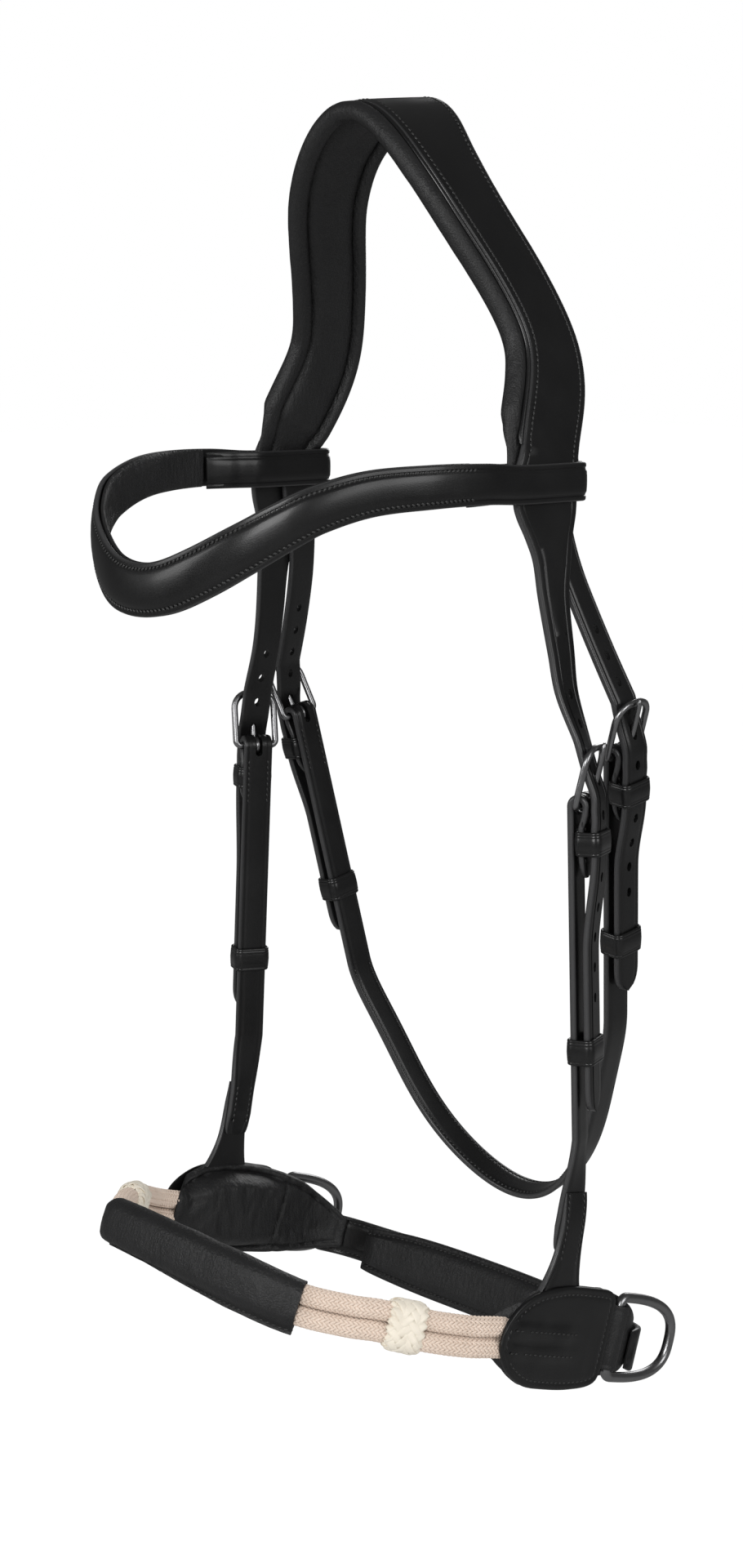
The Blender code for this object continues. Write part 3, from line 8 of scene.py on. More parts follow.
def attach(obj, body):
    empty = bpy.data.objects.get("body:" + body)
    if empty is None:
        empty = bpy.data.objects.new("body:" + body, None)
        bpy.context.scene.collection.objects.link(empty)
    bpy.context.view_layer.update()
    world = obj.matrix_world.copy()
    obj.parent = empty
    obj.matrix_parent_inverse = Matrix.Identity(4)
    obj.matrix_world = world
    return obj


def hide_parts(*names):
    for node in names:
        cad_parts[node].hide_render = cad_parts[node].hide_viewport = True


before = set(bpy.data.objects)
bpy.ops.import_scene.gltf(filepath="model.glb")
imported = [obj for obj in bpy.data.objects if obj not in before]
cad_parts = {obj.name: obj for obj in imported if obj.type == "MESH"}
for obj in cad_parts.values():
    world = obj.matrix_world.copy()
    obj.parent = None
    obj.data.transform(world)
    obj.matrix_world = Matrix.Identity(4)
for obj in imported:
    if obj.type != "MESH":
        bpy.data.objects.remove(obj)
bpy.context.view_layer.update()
mm = 0.001
allPieces = []
print("frame loaded,", len(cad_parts), "nodes")


def newObject(name, data):
    made = bpy.data.objects.new(name, data)
    bpy.context.scene.collection.objects.link(made)
    return made


# Camera, at the photograph's place
cameraSet = {"place": (0.787005, -0.751059, -0.086502), "turn": 47.0, "pitch": 10.178, "lens": 58.28}
cameraData = bpy.data.cameras.new("camera")
cameraData.lens = cameraSet["lens"]
cameraData.sensor_width = 36.0
camera = newObject("camera", cameraData)
camera.location = cameraSet["place"]
turn, pitch = math.radians(cameraSet["turn"]), math.radians(cameraSet["pitch"])
looking = Vector((-math.sin(turn) * math.cos(pitch), math.cos(turn) * math.cos(pitch), -math.sin(pitch)))
camera.rotation_mode = "QUATERNION"
camera.rotation_quaternion = looking.to_track_quat("-Z", "Y")
bpy.context.scene.camera = camera
bpy.context.scene.view_settings.view_transform = "Standard"


# Materials
def addNode(tree, kind, links=(), **values):
    # values are the node's own settings, or the numbers on its sockets
    node = tree.nodes.new(kind)
    for key, value in values.items():
        if hasattr(node, key):
            setattr(node, key, value)
        else:
            node.inputs[key.replace("_", " ")].default_value = value
    for source, target in links:
        tree.links.new(source, node.inputs[target])
    return node


def combine(tree, operation, *parts):
    # a math node fed by sockets and plain numbers
    node = tree.nodes.new("ShaderNodeMath")
    node.operation = operation
    for i, part in enumerate(parts):
        if isinstance(part, float):
            node.inputs[i].default_value = part
        else:
            tree.links.new(part, node.inputs[i])
    return node.outputs[0]


def newGroup(name, inputs):
    group = bpy.data.node_groups.new(name, "ShaderNodeTree")
    for label, value in inputs:
        socket = group.interface.new_socket(label, in_out="INPUT", socket_type="NodeSocketFloat")
        socket.default_value = value
    for label in ("Height", "Mottle"):
        group.interface.new_socket(label, in_out="OUTPUT", socket_type="NodeSocketFloat")
    coords = addNode(group, "ShaderNodeTexCoord").outputs["Object"]
    given, result = group.nodes.new("NodeGroupInput").outputs, group.nodes.new("NodeGroupOutput").inputs
    return group, given, result, coords


def texture(tree, kind, place, **values):
    return addNode(tree, "ShaderNodeTex" + kind, [(place, "Vector")], **values)


# Leather grain: small pebbles, fine creases, and long soft wrinkles
grainGroup, given, result, coords = newGroup(
    "leatherGrain", [("Scale", 1500.0), ("Pebble", 0.6), ("Wrinkle", 0.4), ("Crease", 0.0)])
warp = texture(grainGroup, "Noise", coords, Scale=260.0, Detail=3.0)
shifted = addNode(grainGroup, "ShaderNodeMixRGB", [(coords, 1), (warp.outputs["Color"], 2)],
                  blend_type="ADD", Fac=0.0008).outputs[0]
cells = texture(grainGroup, "Voronoi", shifted, feature="SMOOTH_F1", Smoothness=0.35)
grainGroup.links.new(given["Scale"], cells.inputs["Scale"])
folds = texture(grainGroup, "Noise", shifted, Scale=140.0, Detail=5.0, Roughness=0.62, Distortion=0.6)
upright = addNode(grainGroup, "ShaderNodeMapping", [(shifted, "Vector")], Scale=(1.0, 1.0, 0.24))
creases = texture(grainGroup, "Noise", upright.outputs[0], Scale=620.0, Detail=2.0)
folded = combine(grainGroup, "ADD", combine(grainGroup, "MULTIPLY", folds.outputs["Fac"], given["Wrinkle"]),
                 combine(grainGroup, "MULTIPLY", creases.outputs["Fac"], given["Crease"]))
pebble = combine(grainGroup, "MULTIPLY", cells.outputs["Distance"], given["Pebble"])
grainGroup.links.new(combine(grainGroup, "SUBTRACT", folded, pebble), result["Height"])
patches = texture(grainGroup, "Noise", coords, Scale=45.0, Detail=4.0)
grainGroup.links.new(patches.outputs["Fac"], result["Mottle"])

# Yarn: fine twisted fibres along a strand
yarnGroup, given, result, coords = newGroup("yarnFibre", [("Scale", 900.0)])
fibres = texture(yarnGroup, "Noise", coords, Detail=6.0, Distortion=1.2)
yarnGroup.links.new(given["Scale"], fibres.inputs["Scale"])
yarnGroup.links.new(fibres.outputs["Fac"], result["Height"])
patches = texture(yarnGroup, "Noise", coords, Scale=110.0, Detail=3.0)
yarnGroup.links.new(patches.outputs["Fac"], result["Mottle"])


def between(tree, factor, low, high):
    return addNode(tree, "ShaderNodeMapRange", [(factor, "Value")], From_Min=0.3, From_Max=0.7,
                   To_Min=low, To_Max=high).outputs["Result"]


def blendColours(tree, factor, low, high):
    return addNode(tree, "ShaderNodeMixRGB", [(factor, 0)],
                   Color1=(*low, 1.0), Color2=(*high, 1.0)).outputs[0]


def newMaterial(name):
    material = bpy.data.materials.new(name)
    material.use_nodes = True
    return material, material.node_tree, material.node_tree.nodes["Principled BSDF"]


def dress(tree, shader, colour, roughness, height, strength, depth):
    bump = addNode(tree, "ShaderNodeBump", [(height, "Height")], Strength=strength, Distance=depth)
    tree.links.new(colour, shader.inputs["Base Color"])
    tree.links.new(roughness, shader.inputs["Roughness"])
    tree.links.new(bump.outputs["Normal"], shader.inputs["Normal"])


def leatherMaterial(name, dark, light, edge, rough, depth, coat=0.0, **grain):
    material, tree, shader = newMaterial(name)
    group = addNode(tree, "ShaderNodeGroup", node_tree=grainGroup, **grain).outputs
    # the cut edges are mixed towards the edge colour: a painted sheen, standing in for the highlight along the
    # burnished edges
    edgeSheenMask = addNode(tree, "ShaderNodeAttribute", attribute_name="edgeSheen")
    colour = blendColours(tree, group["Mottle"], dark, light)
    sheenedColour = addNode(tree, "ShaderNodeMixRGB", [(edgeSheenMask.outputs["Fac"], 0), (colour, 1)],
                    Color2=(*edge, 1.0))
    dress(tree, shader, sheenedColour.outputs[0], between(tree, group["Mottle"], rough - 0.05, rough + 0.06),
          group["Height"], 0.55, depth)
    shader.inputs["Specular IOR Level"].default_value = 0.38
    shader.inputs["Coat Weight"].default_value = coat
    shader.inputs["Coat Roughness"].default_value = 0.18
    return material


def yarnMaterial(name, dark, light, rough, scale, depth):
    material, tree, shader = newMaterial(name)
    group = addNode(tree, "ShaderNodeGroup", node_tree=yarnGroup, Scale=scale).outputs
    dress(tree, shader, blendColours(tree, group["Mottle"], dark, light),
          between(tree, group["Height"], rough - 0.06, rough + 0.06), group["Height"], 0.5, depth)
    return material


# the third colour of each leather goes on its cut edges: painted sheen, lighter than the body on the strap and
# gloss leathers
strapLeather = leatherMaterial(
    "strapLeather", (0.0030, 0.0030, 0.0032), (0.0058, 0.0058, 0.0060), (0.038, 0.038, 0.039),
    0.36, 0.00020, 0.20, Scale=2300.0, Pebble=0.22, Wrinkle=0.30)
softLeather = leatherMaterial(
    "softLeather", (0.0085, 0.0085, 0.0088), (0.0150, 0.0150, 0.0154), (0.014, 0.014, 0.014),
    0.50, 0.00065, Scale=1500.0, Pebble=0.42, Wrinkle=0.70, Crease=1.3)
glossLeather = leatherMaterial(
    "glossLeather", (0.0036, 0.0036, 0.0038), (0.0062, 0.0062, 0.0064), (0.012, 0.012, 0.013),
    0.32, 0.00014, 0.30, Scale=2600.0, Pebble=0.15, Wrinkle=0.22)
blackThread = yarnMaterial("blackThread", (0.010, 0.010, 0.010), (0.026, 0.026, 0.026), 0.42, 2500.0, 0.00010)
ropeYarn = yarnMaterial("ropeYarn", (0.59, 0.475, 0.390), (0.72, 0.600, 0.510), 0.74, 1500.0, 0.00014)
knotYarn = yarnMaterial("knotYarn", (0.65, 0.590, 0.490), (0.765, 0.710, 0.610), 0.60, 1300.0, 0.00010)

gunMetal, tree, shader = newMaterial("gunMetal")
shader.inputs["Metallic"].default_value = 1.0
coords = addNode(tree, "ShaderNodeTexCoord").outputs["Object"]
smears = texture(tree, "Noise", coords, Scale=420.0, Detail=5.0)
dress(tree, shader, blendColours(tree, smears.outputs["Fac"], (0.25, 0.25, 0.255), (0.32, 0.32, 0.325)),
      between(tree, smears.outputs["Fac"], 0.27, 0.34), smears.outputs["Fac"], 0.05, 0.00004)
print("materials made")


# Mesh helpers
def clamp(value, low=0.0):
    return max(low, min(1.0, value))


def eased(share):
    return share * share * (3 - 2 * share)


def meshFrom(bm, name):
    mesh = bpy.data.meshes.new(name)
    bm.to_mesh(mesh)
    bm.free()
    return mesh


def makePiece(name, bm, material, slotName, body="bridle", replacing=True, sharpFrom=45.0):
    mesh = meshFrom(bm, name)
    mesh.shade_smooth()
    mesh.set_sharp_from_angle(angle=math.radians(sharpFrom))
    mesh.materials.append(material)
    piece = newObject(name, mesh)
    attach(piece, body)
    if replacing:
        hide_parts(slotName)
    allPieces.append(piece)
    return piece


def makeThreads(name, threads, slotName, body="bridle"):
    return makePiece(name, threads, blackThread, slotName, body, False)


def circle(count, wide, high, x=0.0, y=0.0):
    return [(x + wide * math.cos(math.tau * k / count), y + high * math.sin(math.tau * k / count))
            for k in range(count)]


def laid(centre, xWay, yWay, outline):
    return [centre + xWay * a + yWay * b for a, b in outline]


def skin(rings, closedPath=False, edgeSheenShare=None, capped=True):
    # a closed outline carried along a path: a grid is laid over the rings and its seams are closed
    columns, count = len(rings[0]), len(rings)
    along = count if closedPath else count - 1
    bm = bmesh.new()
    bm.loops.layers.uv.new("UVMap")
    edgeSheen = bm.verts.layers.float.new("edgeSheen")
    bmesh.ops.create_grid(bm, x_segments=columns, y_segments=along, size=1.0, calc_uvs=True)
    for index, vert in enumerate(bm.verts):
        row, column = divmod(index, columns + 1)
        vert.co = rings[row % count][column % columns]
        # each outline column gets its share of painted edge sheen
        if edgeSheenShare:
            vert[edgeSheen] = edgeSheenShare[column % columns]
    bmesh.ops.remove_doubles(bm, verts=bm.verts, dist=1e-7)
    if capped and not closedPath:
        rims = [edge for edge in bm.edges if len(edge.link_faces) == 1]
        bmesh.ops.holes_fill(bm, edges=rims, sides=0)
    bmesh.ops.recalc_face_normals(bm, faces=bm.faces)
    if capped and bm.calc_volume(signed=True) < 0.0:
        bmesh.ops.reverse_faces(bm, faces=bm.faces)
    return bm


def joinInto(target, other):
    mesh = meshFrom(other, "passing")
    target.from_mesh(mesh)
    bpy.data.meshes.remove(mesh)


def cutWith(piece, cutters):
    # cutters is a bmesh of closed posts
    bmesh.ops.recalc_face_normals(cutters, faces=cutters.faces)
    cutter = newObject("cutter", meshFrom(cutters, "cutter"))
    boolean = piece.modifiers.new("cut", "BOOLEAN")
    boolean.object = cutter
    boolean.operation = "DIFFERENCE"
    cut = bpy.data.meshes.new_from_object(piece.evaluated_get(bpy.context.evaluated_depsgraph_get()))
    piece.modifiers.clear()
    piece.data = cut
    bpy.data.objects.remove(cutter)


def runLengths(places):
    # how far along the path each place lies
    along = [0.0]
    for a, b in zip(places, places[1:]):
        along.append(along[-1] + (b - a).length)
    return along


def smoothRows(rows, spacing=2.0 * mm):
    # a smooth curve through rows of numbers, whose first three are the place
    places = [Vector(row[:3]) for row in rows]
    lengths = [max((b - a).length, 1e-6) for a, b in zip(places, places[1:])]
    along = [0.0]
    for length in lengths:
        along.append(along[-1] + length)
    slopes = []
    for i in range(len(rows)):
        low, high = max(i - 1, 0), min(i + 1, len(rows) - 1)
        slopes.append([(b - a) / (along[high] - along[low]) for a, b in zip(rows[low], rows[high])])
    curved = []
    for i, length in enumerate(lengths):
        steps = max(1, math.ceil(length / spacing))
        for k in range(steps):
            t = k / steps
            a0, b0 = 2 * t ** 3 - 3 * t ** 2 + 1, 3 * t ** 2 - 2 * t ** 3
            a1, b1 = (t ** 3 - 2 * t ** 2 + t) * length, (t ** 3 - t ** 2) * length
            curved.append(tuple(a0 * p + a1 * s + b0 * q + b1 * r for p, s, q, r
                                in zip(rows[i], slopes[i], rows[i + 1], slopes[i + 1])))
    curved.append(tuple(rows[-1]))
    return curved


def otherSide(rows):
    return [(-row[0], row[1], row[2], -row[3], *row[4:]) for row in reversed(rows)]


def framesOf(rows):
    places = [Vector(row[:3]) for row in rows]
    frames = []
    for i, place in enumerate(places):
        travel = (places[min(i + 1, len(places) - 1)] - places[max(i - 1, 0)]).normalized()
        hint = Vector(rows[i][3:6])
        across = (hint - travel * hint.dot(travel)).normalized()
        frames.append((place, across, travel.cross(across), travel))
    return frames


def onFrame(frameHere, outline):
    return laid(*frameHere[:3], outline)


def evened(rows, spacing):
    # the same path with evenly spaced rows
    along = runLengths([Vector(row[:3]) for row in rows])
    count = max(2, round(along[-1] / spacing))
    result, i = [], 0
    for k in range(count + 1):
        target = along[-1] * k / count
        while i < len(along) - 2 and along[i + 1] < target:
            i += 1
        t = (target - along[i]) / max(along[i + 1] - along[i], 1e-9)
        result.append(tuple(p + (q - p) * t for p, q in zip(rows[i], rows[i + 1])))
    return result


def inLine(rows, moves, rounds):
    # free rows run on in line with the fastened ones, without a corner
    rows = [list(row) for row in rows]
    free = [i for i in range(2, len(rows) - 2) if moves(rows[i])]
    for _ in range(rounds):
        for i in free:
            for k in range(3):
                rows[i][k] = (4 * (rows[i - 1][k] + rows[i + 1][k]) - rows[i - 2][k] - rows[i + 2][k]) / 6
    return [tuple(row) for row in rows]


def softened(rows, moves, rounds, values=3):
    # rows whose place isn't in a fastening settle into an even curve
    rows = [list(row) for row in rows]
    for _ in range(rounds):
        before = [list(row) for row in rows]
        for i in range(1, len(rows) - 1):
            if moves(Vector(before[i][:3])):
                for k in range(values):
                    rows[i][k] = before[i][k] * 0.5 + (before[i - 1][k] + before[i + 1][k]) * 0.25
    return [tuple(row) for row in rows]


def strapOutline(half, low, high, groove=0.0, inset=2.2 * mm, dome=0.0):
    # a cut leather strap seen end on; the groove is where its stitches lie
    ease = min((high - low) * 0.34, half * 0.4)
    flat = half - ease
    side = max(half - inset, half * 0.25)
    wide = min(0.55 * mm, half * 0.12)
    top = [(flat, high), (min(side + wide * 2.0, flat - 0.1 * mm), high + dome * 0.1),
           (side + wide, high + dome * 0.3), (side + wide * 0.4, high - groove * 0.8 + dome * 0.35),
           (side - wide * 0.4, high - groove * 0.8 + dome * 0.4), (side - wide, high + dome * 0.5),
           (half * 0.45, high + dome * 0.85)]
    outline = [(-flat, low), (-half * 0.4, low), (half * 0.4, low), (flat, low)]
    outline += [(half - ease * 0.3, low + ease * 0.3), (half, low + ease), (half, high - ease),
                (half - ease * 0.3, high - ease * 0.3)]
    outline += top + [(0.0, high + dome)] + [(-a, b) for a, b in reversed(top)]
    outline += [(ease * 0.3 - half, high - ease * 0.3), (-half, high - ease), (-half, low + ease),
                (ease * 0.3 - half, low + ease * 0.3)]
    return outline


# shares of painted edge sheen for the outline's columns: full on the two cut sides, part at their rounded
# corners, none on the faces
strapEdgeSheen = [0.0] * 4 + [0.6, 1.0, 1.0, 0.6] + [0.0] * 15 + [0.6, 1.0, 1.0, 0.6]


def halvesOf(rows):
    return [row[6] / 2 for row in rows]


def strapBand(frames, halves, low, high, **looks):
    rings = []
    for i, here in enumerate(frames):
        lows = low[i] if isinstance(low, list) else low
        highs = high[i] if isinstance(high, list) else high
        rings.append(onFrame(here, strapOutline(halves[i], lows, highs, **looks)))
    return skin(rings, edgeSheenShare=strapEdgeSheen)


def stretched(place, *axes):
    matrix = Matrix(axes).transposed().to_4x4()
    matrix.translation = place
    return matrix


def stitches(bm, points, ups, pitch=2.6 * mm, length=1.9 * mm, thick=0.46 * mm, slant=12.0):
    # short thread spans, each a little askew, along a line of points
    gone, due = 0.0, pitch / 2
    for i in range(len(points) - 1):
        step = points[i + 1] - points[i]
        size = step.length
        while size > 0 and due <= gone + size:
            middle = points[i] + step * ((due - gone) / size)
            way = step.normalized()
            up = (ups[i] - way * ups[i].dot(way)).normalized()
            way = Matrix.Rotation(math.radians(slant), 3, up) @ way
            side = up.cross(way)
            bmesh.ops.create_uvsphere(bm, u_segments=6, v_segments=4, radius=1.0, matrix=stretched(
                middle, way * length / 2, side * thick, up * thick * 0.75))
            due += pitch
        gone += size


def stitchAlong(bm, frames, aside, rise, first=0.0, last=1.0, **looks):
    # aside and rise are numbers, or lists with one value for each frame
    low, high = int(first * (len(frames) - 1)), int(last * (len(frames) - 1)) + 1
    points, ups = [], []
    for i in range(low, high):
        place, across, out = frames[i][:3]
        a = aside[i] if isinstance(aside, list) else aside
        b = rise[i] if isinstance(rise, list) else rise
        points.append(place + across * a + out * b)
        ups.append(out)
    stitches(bm, points, ups, **looks)


def sewEdges(bm, frames, halves, inset, rise, **looks):
    # a row of stitches along each edge
    for way in (-1.0, 1.0):
        stitchAlong(bm, frames, [(half - inset) * way for half in halves], rise, **looks)


def ovalPost(bm, place, axis, longWay, halfLong, halfWide, halfHigh):
    axis = axis.normalized()
    longWay = (longWay - axis * longWay.dot(axis)).normalized()
    shape = stretched(place, longWay * halfLong, axis.cross(longWay) * halfWide, axis * halfHigh)
    bmesh.ops.create_cone(bm, cap_ends=True, segments=18, radius1=1.0, radius2=1.0, depth=2.0, matrix=shape)


# Shared sizes, as in the solids
leather = 3.0 * mm
gap = 0.3 * mm
strapWidth = 13.5 * mm
back = Vector((0.0, 1.0, 0.0))
up = Vector((0.0, 0.0, 1.0))
head = {"halfWidth": 79.2 * mm, "drop": 153.5 * mm, "width": 41.0 * mm, "pad": 5.5 * mm,
        "frontOverhang": 9.0 * mm, "legOverhang": 5.0 * mm, "rearInset": 2.5 * mm,
        "roll": 4.2 * mm, "rollDepth": 1.5 * mm, "rearRoll": 2.7 * mm,
        "lean": math.radians(3.0), "tip": math.radians(5.0), "browWidth": 21.3 * mm, "liningRise": 3.5 * mm,
        "liningThin": 3.0 * mm, "channel": 0.36, "settles": 17.0 * mm, "sewn": 3.6 * mm}
browZ = head["pad"] - head["drop"]
buckle = {"wire": 1.5 * mm, "length": 24.5 * mm, "corner": 7.2 * mm, "barCorner": 2.4 * mm,
          "lean": math.radians(15.0), "half": strapWidth / 2 + 1.3 * mm + 1.5 * mm,
          "prong": 1.1 * mm, "overrun": 2.8 * mm, "shortEnd": 30.0 * mm, "keeperWall": 1.1 * mm,
          "keeperTop": 10.2 * mm, "keeperHigh": 10.0 * mm, "sliderHigh": 10.8 * mm}
foldRadius = buckle["wire"] + gap
innerRun = -foldRadius
keeperInner = innerRun + gap
shortFace = keeperInner + buckle["keeperWall"] + gap
billetFace = shortFace + leather * 0.85 + 2.8 * mm
billetLow = innerRun + 2.8 * mm
tipLong = strapWidth * 0.85
eyeRadius = buckle["wire"] + gap + buckle["prong"]


def seat(bar, splay, rake, twist, rise, side):
    bar = Vector(bar) + Vector((0.0, 0.0, rise * side))
    upward = Vector((-splay, rake, 1.0)).normalized()
    face = Vector((math.cos(twist), math.sin(twist), 0.0))
    out = (face - upward * face.dot(upward)).normalized()
    across = upward.cross(out)
    if side < 0:
        flip = Matrix.Diagonal((-1.0, 1.0, 1.0))
        bar, upward, out, across = flip @ bar, flip @ upward, flip @ out, flip @ across
    return {"bar": bar, "up": upward, "out": out, "across": across, "side": side}


# Straps from the buckle's bar down: straight run, billet's tip, sliding keeper, holes
cheek = {"run": 143.0 * mm, "tip": 128.0 * mm, "slider": 102.0 * mm, "holes": (12.7 * mm, 3, 7),
         "bend": 140.0 * mm, "seam": 25.0 * mm, "lap": 21.2 * mm}
throat = {"run": 125.0 * mm, "tip": 108.0 * mm, "slider": 85.0 * mm, "holes": (11.8 * mm, 4, 6),
          "bend": 124.0 * mm, "fixed": 97.0 * mm, "root": 22.0 * mm}


def seatPoint(place, s, n, w=0.0):
    return place["bar"] + place["up"] * s + place["out"] * n + place["across"] * w


def leanPoint(f, g):
    return (f * math.cos(buckle["lean"]) - g * math.sin(buckle["lean"]),
            f * math.sin(buckle["lean"]) + g * math.cos(buckle["lean"]))


sides = (("left", "Left", 1.0), ("right", "Right", -1.0))
cheekSeats, throatSeats = {}, {}
for sideName, label, side in sides:
    cheekSeats[sideName] = seat((head["halfWidth"] + 23.4 * mm, 5.0 * mm, browZ - 129.5 * mm),
                                0.048, 0.011, math.radians(22.0), 0.0, side)
    throatSeats[sideName] = seat((head["halfWidth"] + 21.5 * mm, 30.5 * mm, browZ - 114.2 * mm),
                                 -0.13, -0.17, 0.0, 2.7 * mm, side)


def billetPath(tip):
    top = leanPoint(buckle["length"], -(buckle["wire"] + 3.6 * mm + leather))
    clear = foldRadius + leather + 2 * gap
    path = [top, (buckle["length"] * 0.55, (top[1] + clear) / 2), (foldRadius * 2, clear),
            (-foldRadius, clear), (-buckle["keeperTop"] * 0.62, (clear + billetFace) / 2 + gap),
            (-buckle["keeperTop"], billetFace)]
    drop0, drop1 = 19.0 * mm, tip * 0.5 - 4.0 * mm
    for k in range(9):
        share = k / 8
        ease = 0.15 * share + 0.85 * eased(share)
        path.append((-(drop0 + (drop1 - drop0) * share), billetFace + (billetLow - billetFace) * ease))
    return path + [(-(drop1 + tip - tipLong) / 2, billetLow), (-(tip - tipLong), billetLow)]


def rowAt(point, across, width, *more):
    return (*point, *across, width, *more)


def billetRows(place, tip):
    rows = [rowAt(seatPoint(place, s, n), place["across"], strapWidth) for s, n in billetPath(tip)]
    rows = smoothRows(rows)
    for k in range(1, 15):
        share = k / 14
        wide = math.sqrt(max(0.0, 1.0 - share ** 2.4)) * 0.96 + 0.04
        rows.append(rowAt(seatPoint(place, -(tip - tipLong * (1 - share)), billetLow),
                          place["across"], strapWidth * wide))
    return rows


# Headpiece: the crown's leather, with a billet at each end
crownShares = (
    (0.000, -0.207, 0.000, 1.244), (0.180, -0.227, 0.040, 1.220), (0.315, -0.241, 0.105, 1.112),
    (0.403, -0.215, 0.165, 1.068), (0.485, -0.151, 0.230, 1.027), (0.545, -0.078, 0.290, 0.990),
    (0.622, 0.068, 0.375, 0.966), (0.708, 0.237, 0.475, 0.956), (0.797, 0.380, 0.588, 0.951),
    (0.848, 0.422, 0.664, 1.000), (0.885, 0.378, 0.729, 1.037), (0.914, 0.298, 0.785, 1.037),
    (0.950, 0.150, 0.865, 1.024), (0.992, 0.050, 0.940, 1.000), (1.000, 0.024, 1.000, 1.000))
billetShares = (
    (0.010, 0.00, 0.070, 0.980), (0.040, 0.00, 0.112, 0.860), (0.090, 0.00, 0.165, 0.600),
    (0.150, 0.00, 0.235, 0.350), (0.220, -0.02, 0.350, 0.160), (0.355, 0.00, 0.530, 0.060),
    (0.470, 0.00, 0.655, 0.015))
legY = head["width"] * crownShares[-1][1]


def crownRows():
    rows = [rowAt((x * head["halfWidth"], y * head["width"], head["pad"] - z * head["drop"]),
                  back, width * head["width"]) for x, y, z, width in crownShares]
    whole = smoothRows(otherSide(rows)[:-1] + rows)
    low = browZ + head["settles"]
    even = softened(evened(whole, 2.0 * mm), lambda spot: spot.z > low, 26, 7)
    crown = [row for row in even if row[2] > low]
    ends = [row for row in whole if row[2] < low - 1.0 * mm]
    whole = ends[:len(ends) // 2] + crown + ends[len(ends) // 2:]
    leaned = []
    for row, here in zip(whole, framesOf(whole)):
        fade = min(1.0, abs(row[0]) / (head["halfWidth"] / 2))
        lean = math.tan(head["lean"]) * fade - math.tan(head["tip"]) * (1.0 - fade)
        lean *= min(1.0, (row[2] - browZ) / head["browWidth"])
        leaned.append((*row[:3], *(back - here[2] * lean), *row[6:]))
    return leaned


def leatherRow(row, here):
    rise = (row[2] - browZ) / (head["browWidth"] / 2)
    overhang = head["legOverhang"] + (head["frontOverhang"] - head["legOverhang"]) * clamp(rise)
    return rowAt(here[0] + here[1] * overhang / 2, here[1], row[6] - overhang)


def cheekBilletRows(place):
    leg = Vector((head["halfWidth"] * place["side"], legY + head["legOverhang"] / 2, browZ))
    wide = head["width"] - head["legOverhang"]
    lined = seatPoint(place, 0.0, billetFace)
    rows = []
    for out, behind, down, share in billetShares:
        point = Vector((leg.x + (lined.x - leg.x) * out, leg.y + head["width"] * behind,
                        leg.z + (lined.z - leg.z) * down))
        across = back.lerp(place["across"], max(0.0, (down - 0.45) / 0.55))
        rows.append(rowAt(point, across, strapWidth + (wide - strapWidth) * share))
    fastened = billetRows(place, cheek["tip"])
    upper = smoothRows([rowAt(leg, back, wide)] + rows + [fastened[0]])
    return upper[1:-1] + fastened


def leanWay(place, f, g):
    return seatPoint(place, *leanPoint(f, g)) - place["bar"]


def punchHoles(bm, rows, place, pitch, above, below):
    # oval holes along a billet, counted from the one that the prong goes through
    prongStart = seatPoint(place, *leanPoint(0.0, eyeRadius))
    prongEnd = seatPoint(place, *leanPoint(buckle["length"], eyeRadius))
    prongWay = (prongEnd - prongStart).normalized()
    frames = framesOf(rows)
    middles = [here[0] + here[2] * place["side"] * leather / 2 for here in frames]
    along = runLengths(middles)

    def at(target):
        i = max(k for k in range(len(along) - 1) if along[k] <= target)
        t = (target - along[i]) / (along[i + 1] - along[i])
        return (middles[i].lerp(middles[i + 1], t), (middles[i + 1] - middles[i]).normalized(),
                frames[i][2].lerp(frames[i + 1][2], t))

    def offProng(target):
        point = at(target)[0]
        t = clamp((point - prongStart).dot(prongWay) / buckle["length"])
        return (point - prongStart - prongWay * buckle["length"] * t).length

    crossing = min((along[-1] * k / 400 for k in range(400)), key=offProng)
    ovalPost(bm, at(crossing)[0], prongWay, leanWay(place, 0.0, 1.0), 2.1 * mm, 1.7 * mm,
             buckle["length"] * 0.30)
    for k in range(-above, below + 1):
        if k != 0:
            middle, way, out = at(crossing + k * pitch)
            ovalPost(bm, middle, out, way, 2.1 * mm, 1.35 * mm, leather)


crown = crownRows()
crownFrames = framesOf(crown)
leftBillet = cheekBilletRows(cheekSeats["left"])
rightBillet = cheekBilletRows(cheekSeats["right"])
crownLeather = [leatherRow(row, here) for row, here in zip(crown, crownFrames)]
headRows = evened(list(reversed(rightBillet)) + crownLeather + leftBillet, 1.8 * mm)
headFrames = framesOf(headRows)
headBm = strapBand(headFrames, halvesOf(headRows), 0.0, leather,
                   groove=0.40 * mm, inset=head["sewn"], dome=0.25 * mm)
headpieceLeather = makePiece("headpieceLeather", headBm, strapLeather, "headpiece_strap")
holes = bmesh.new()
punchHoles(holes, rightBillet, cheekSeats["right"], *cheek["holes"])
punchHoles(holes, leftBillet, cheekSeats["left"], *cheek["holes"])
cutWith(headpieceLeather, holes)

threads = bmesh.new()
sewn, sewnFrames = zip(*[pair for pair in zip(headRows, headFrames) if pair[0][2] > browZ + 6.0 * mm])
sewEdges(threads, sewnFrames, halvesOf(sewn), head["sewn"], leather + 0.02 * mm, pitch=2.3 * mm)
makeThreads("headpieceStitches", threads, "headpiece_strap")

piping = {"radius": 1.15 * mm, "aside": 0.9 * mm, "rise": 1.7 * mm, "starts": 8.6 * mm, "taper": 6.0 * mm}
pipeRings = []
for row, here in zip(headRows, headFrames):
    above = row[2] - browZ - piping["starts"]
    if above > 0.0:
        slim = min(1.0, 0.25 + above / piping["taper"])
        middle = (-row[6] / 2 - piping["aside"], piping["rise"])
        pipeRings.append(onFrame(here, circle(10, piping["radius"] * slim, piping["radius"] * slim, *middle)))
makePiece("headpiecePiping", skin(pipeRings), glossLeather, "headpiece_strap", replacing=False)
print("headpiece leather made")


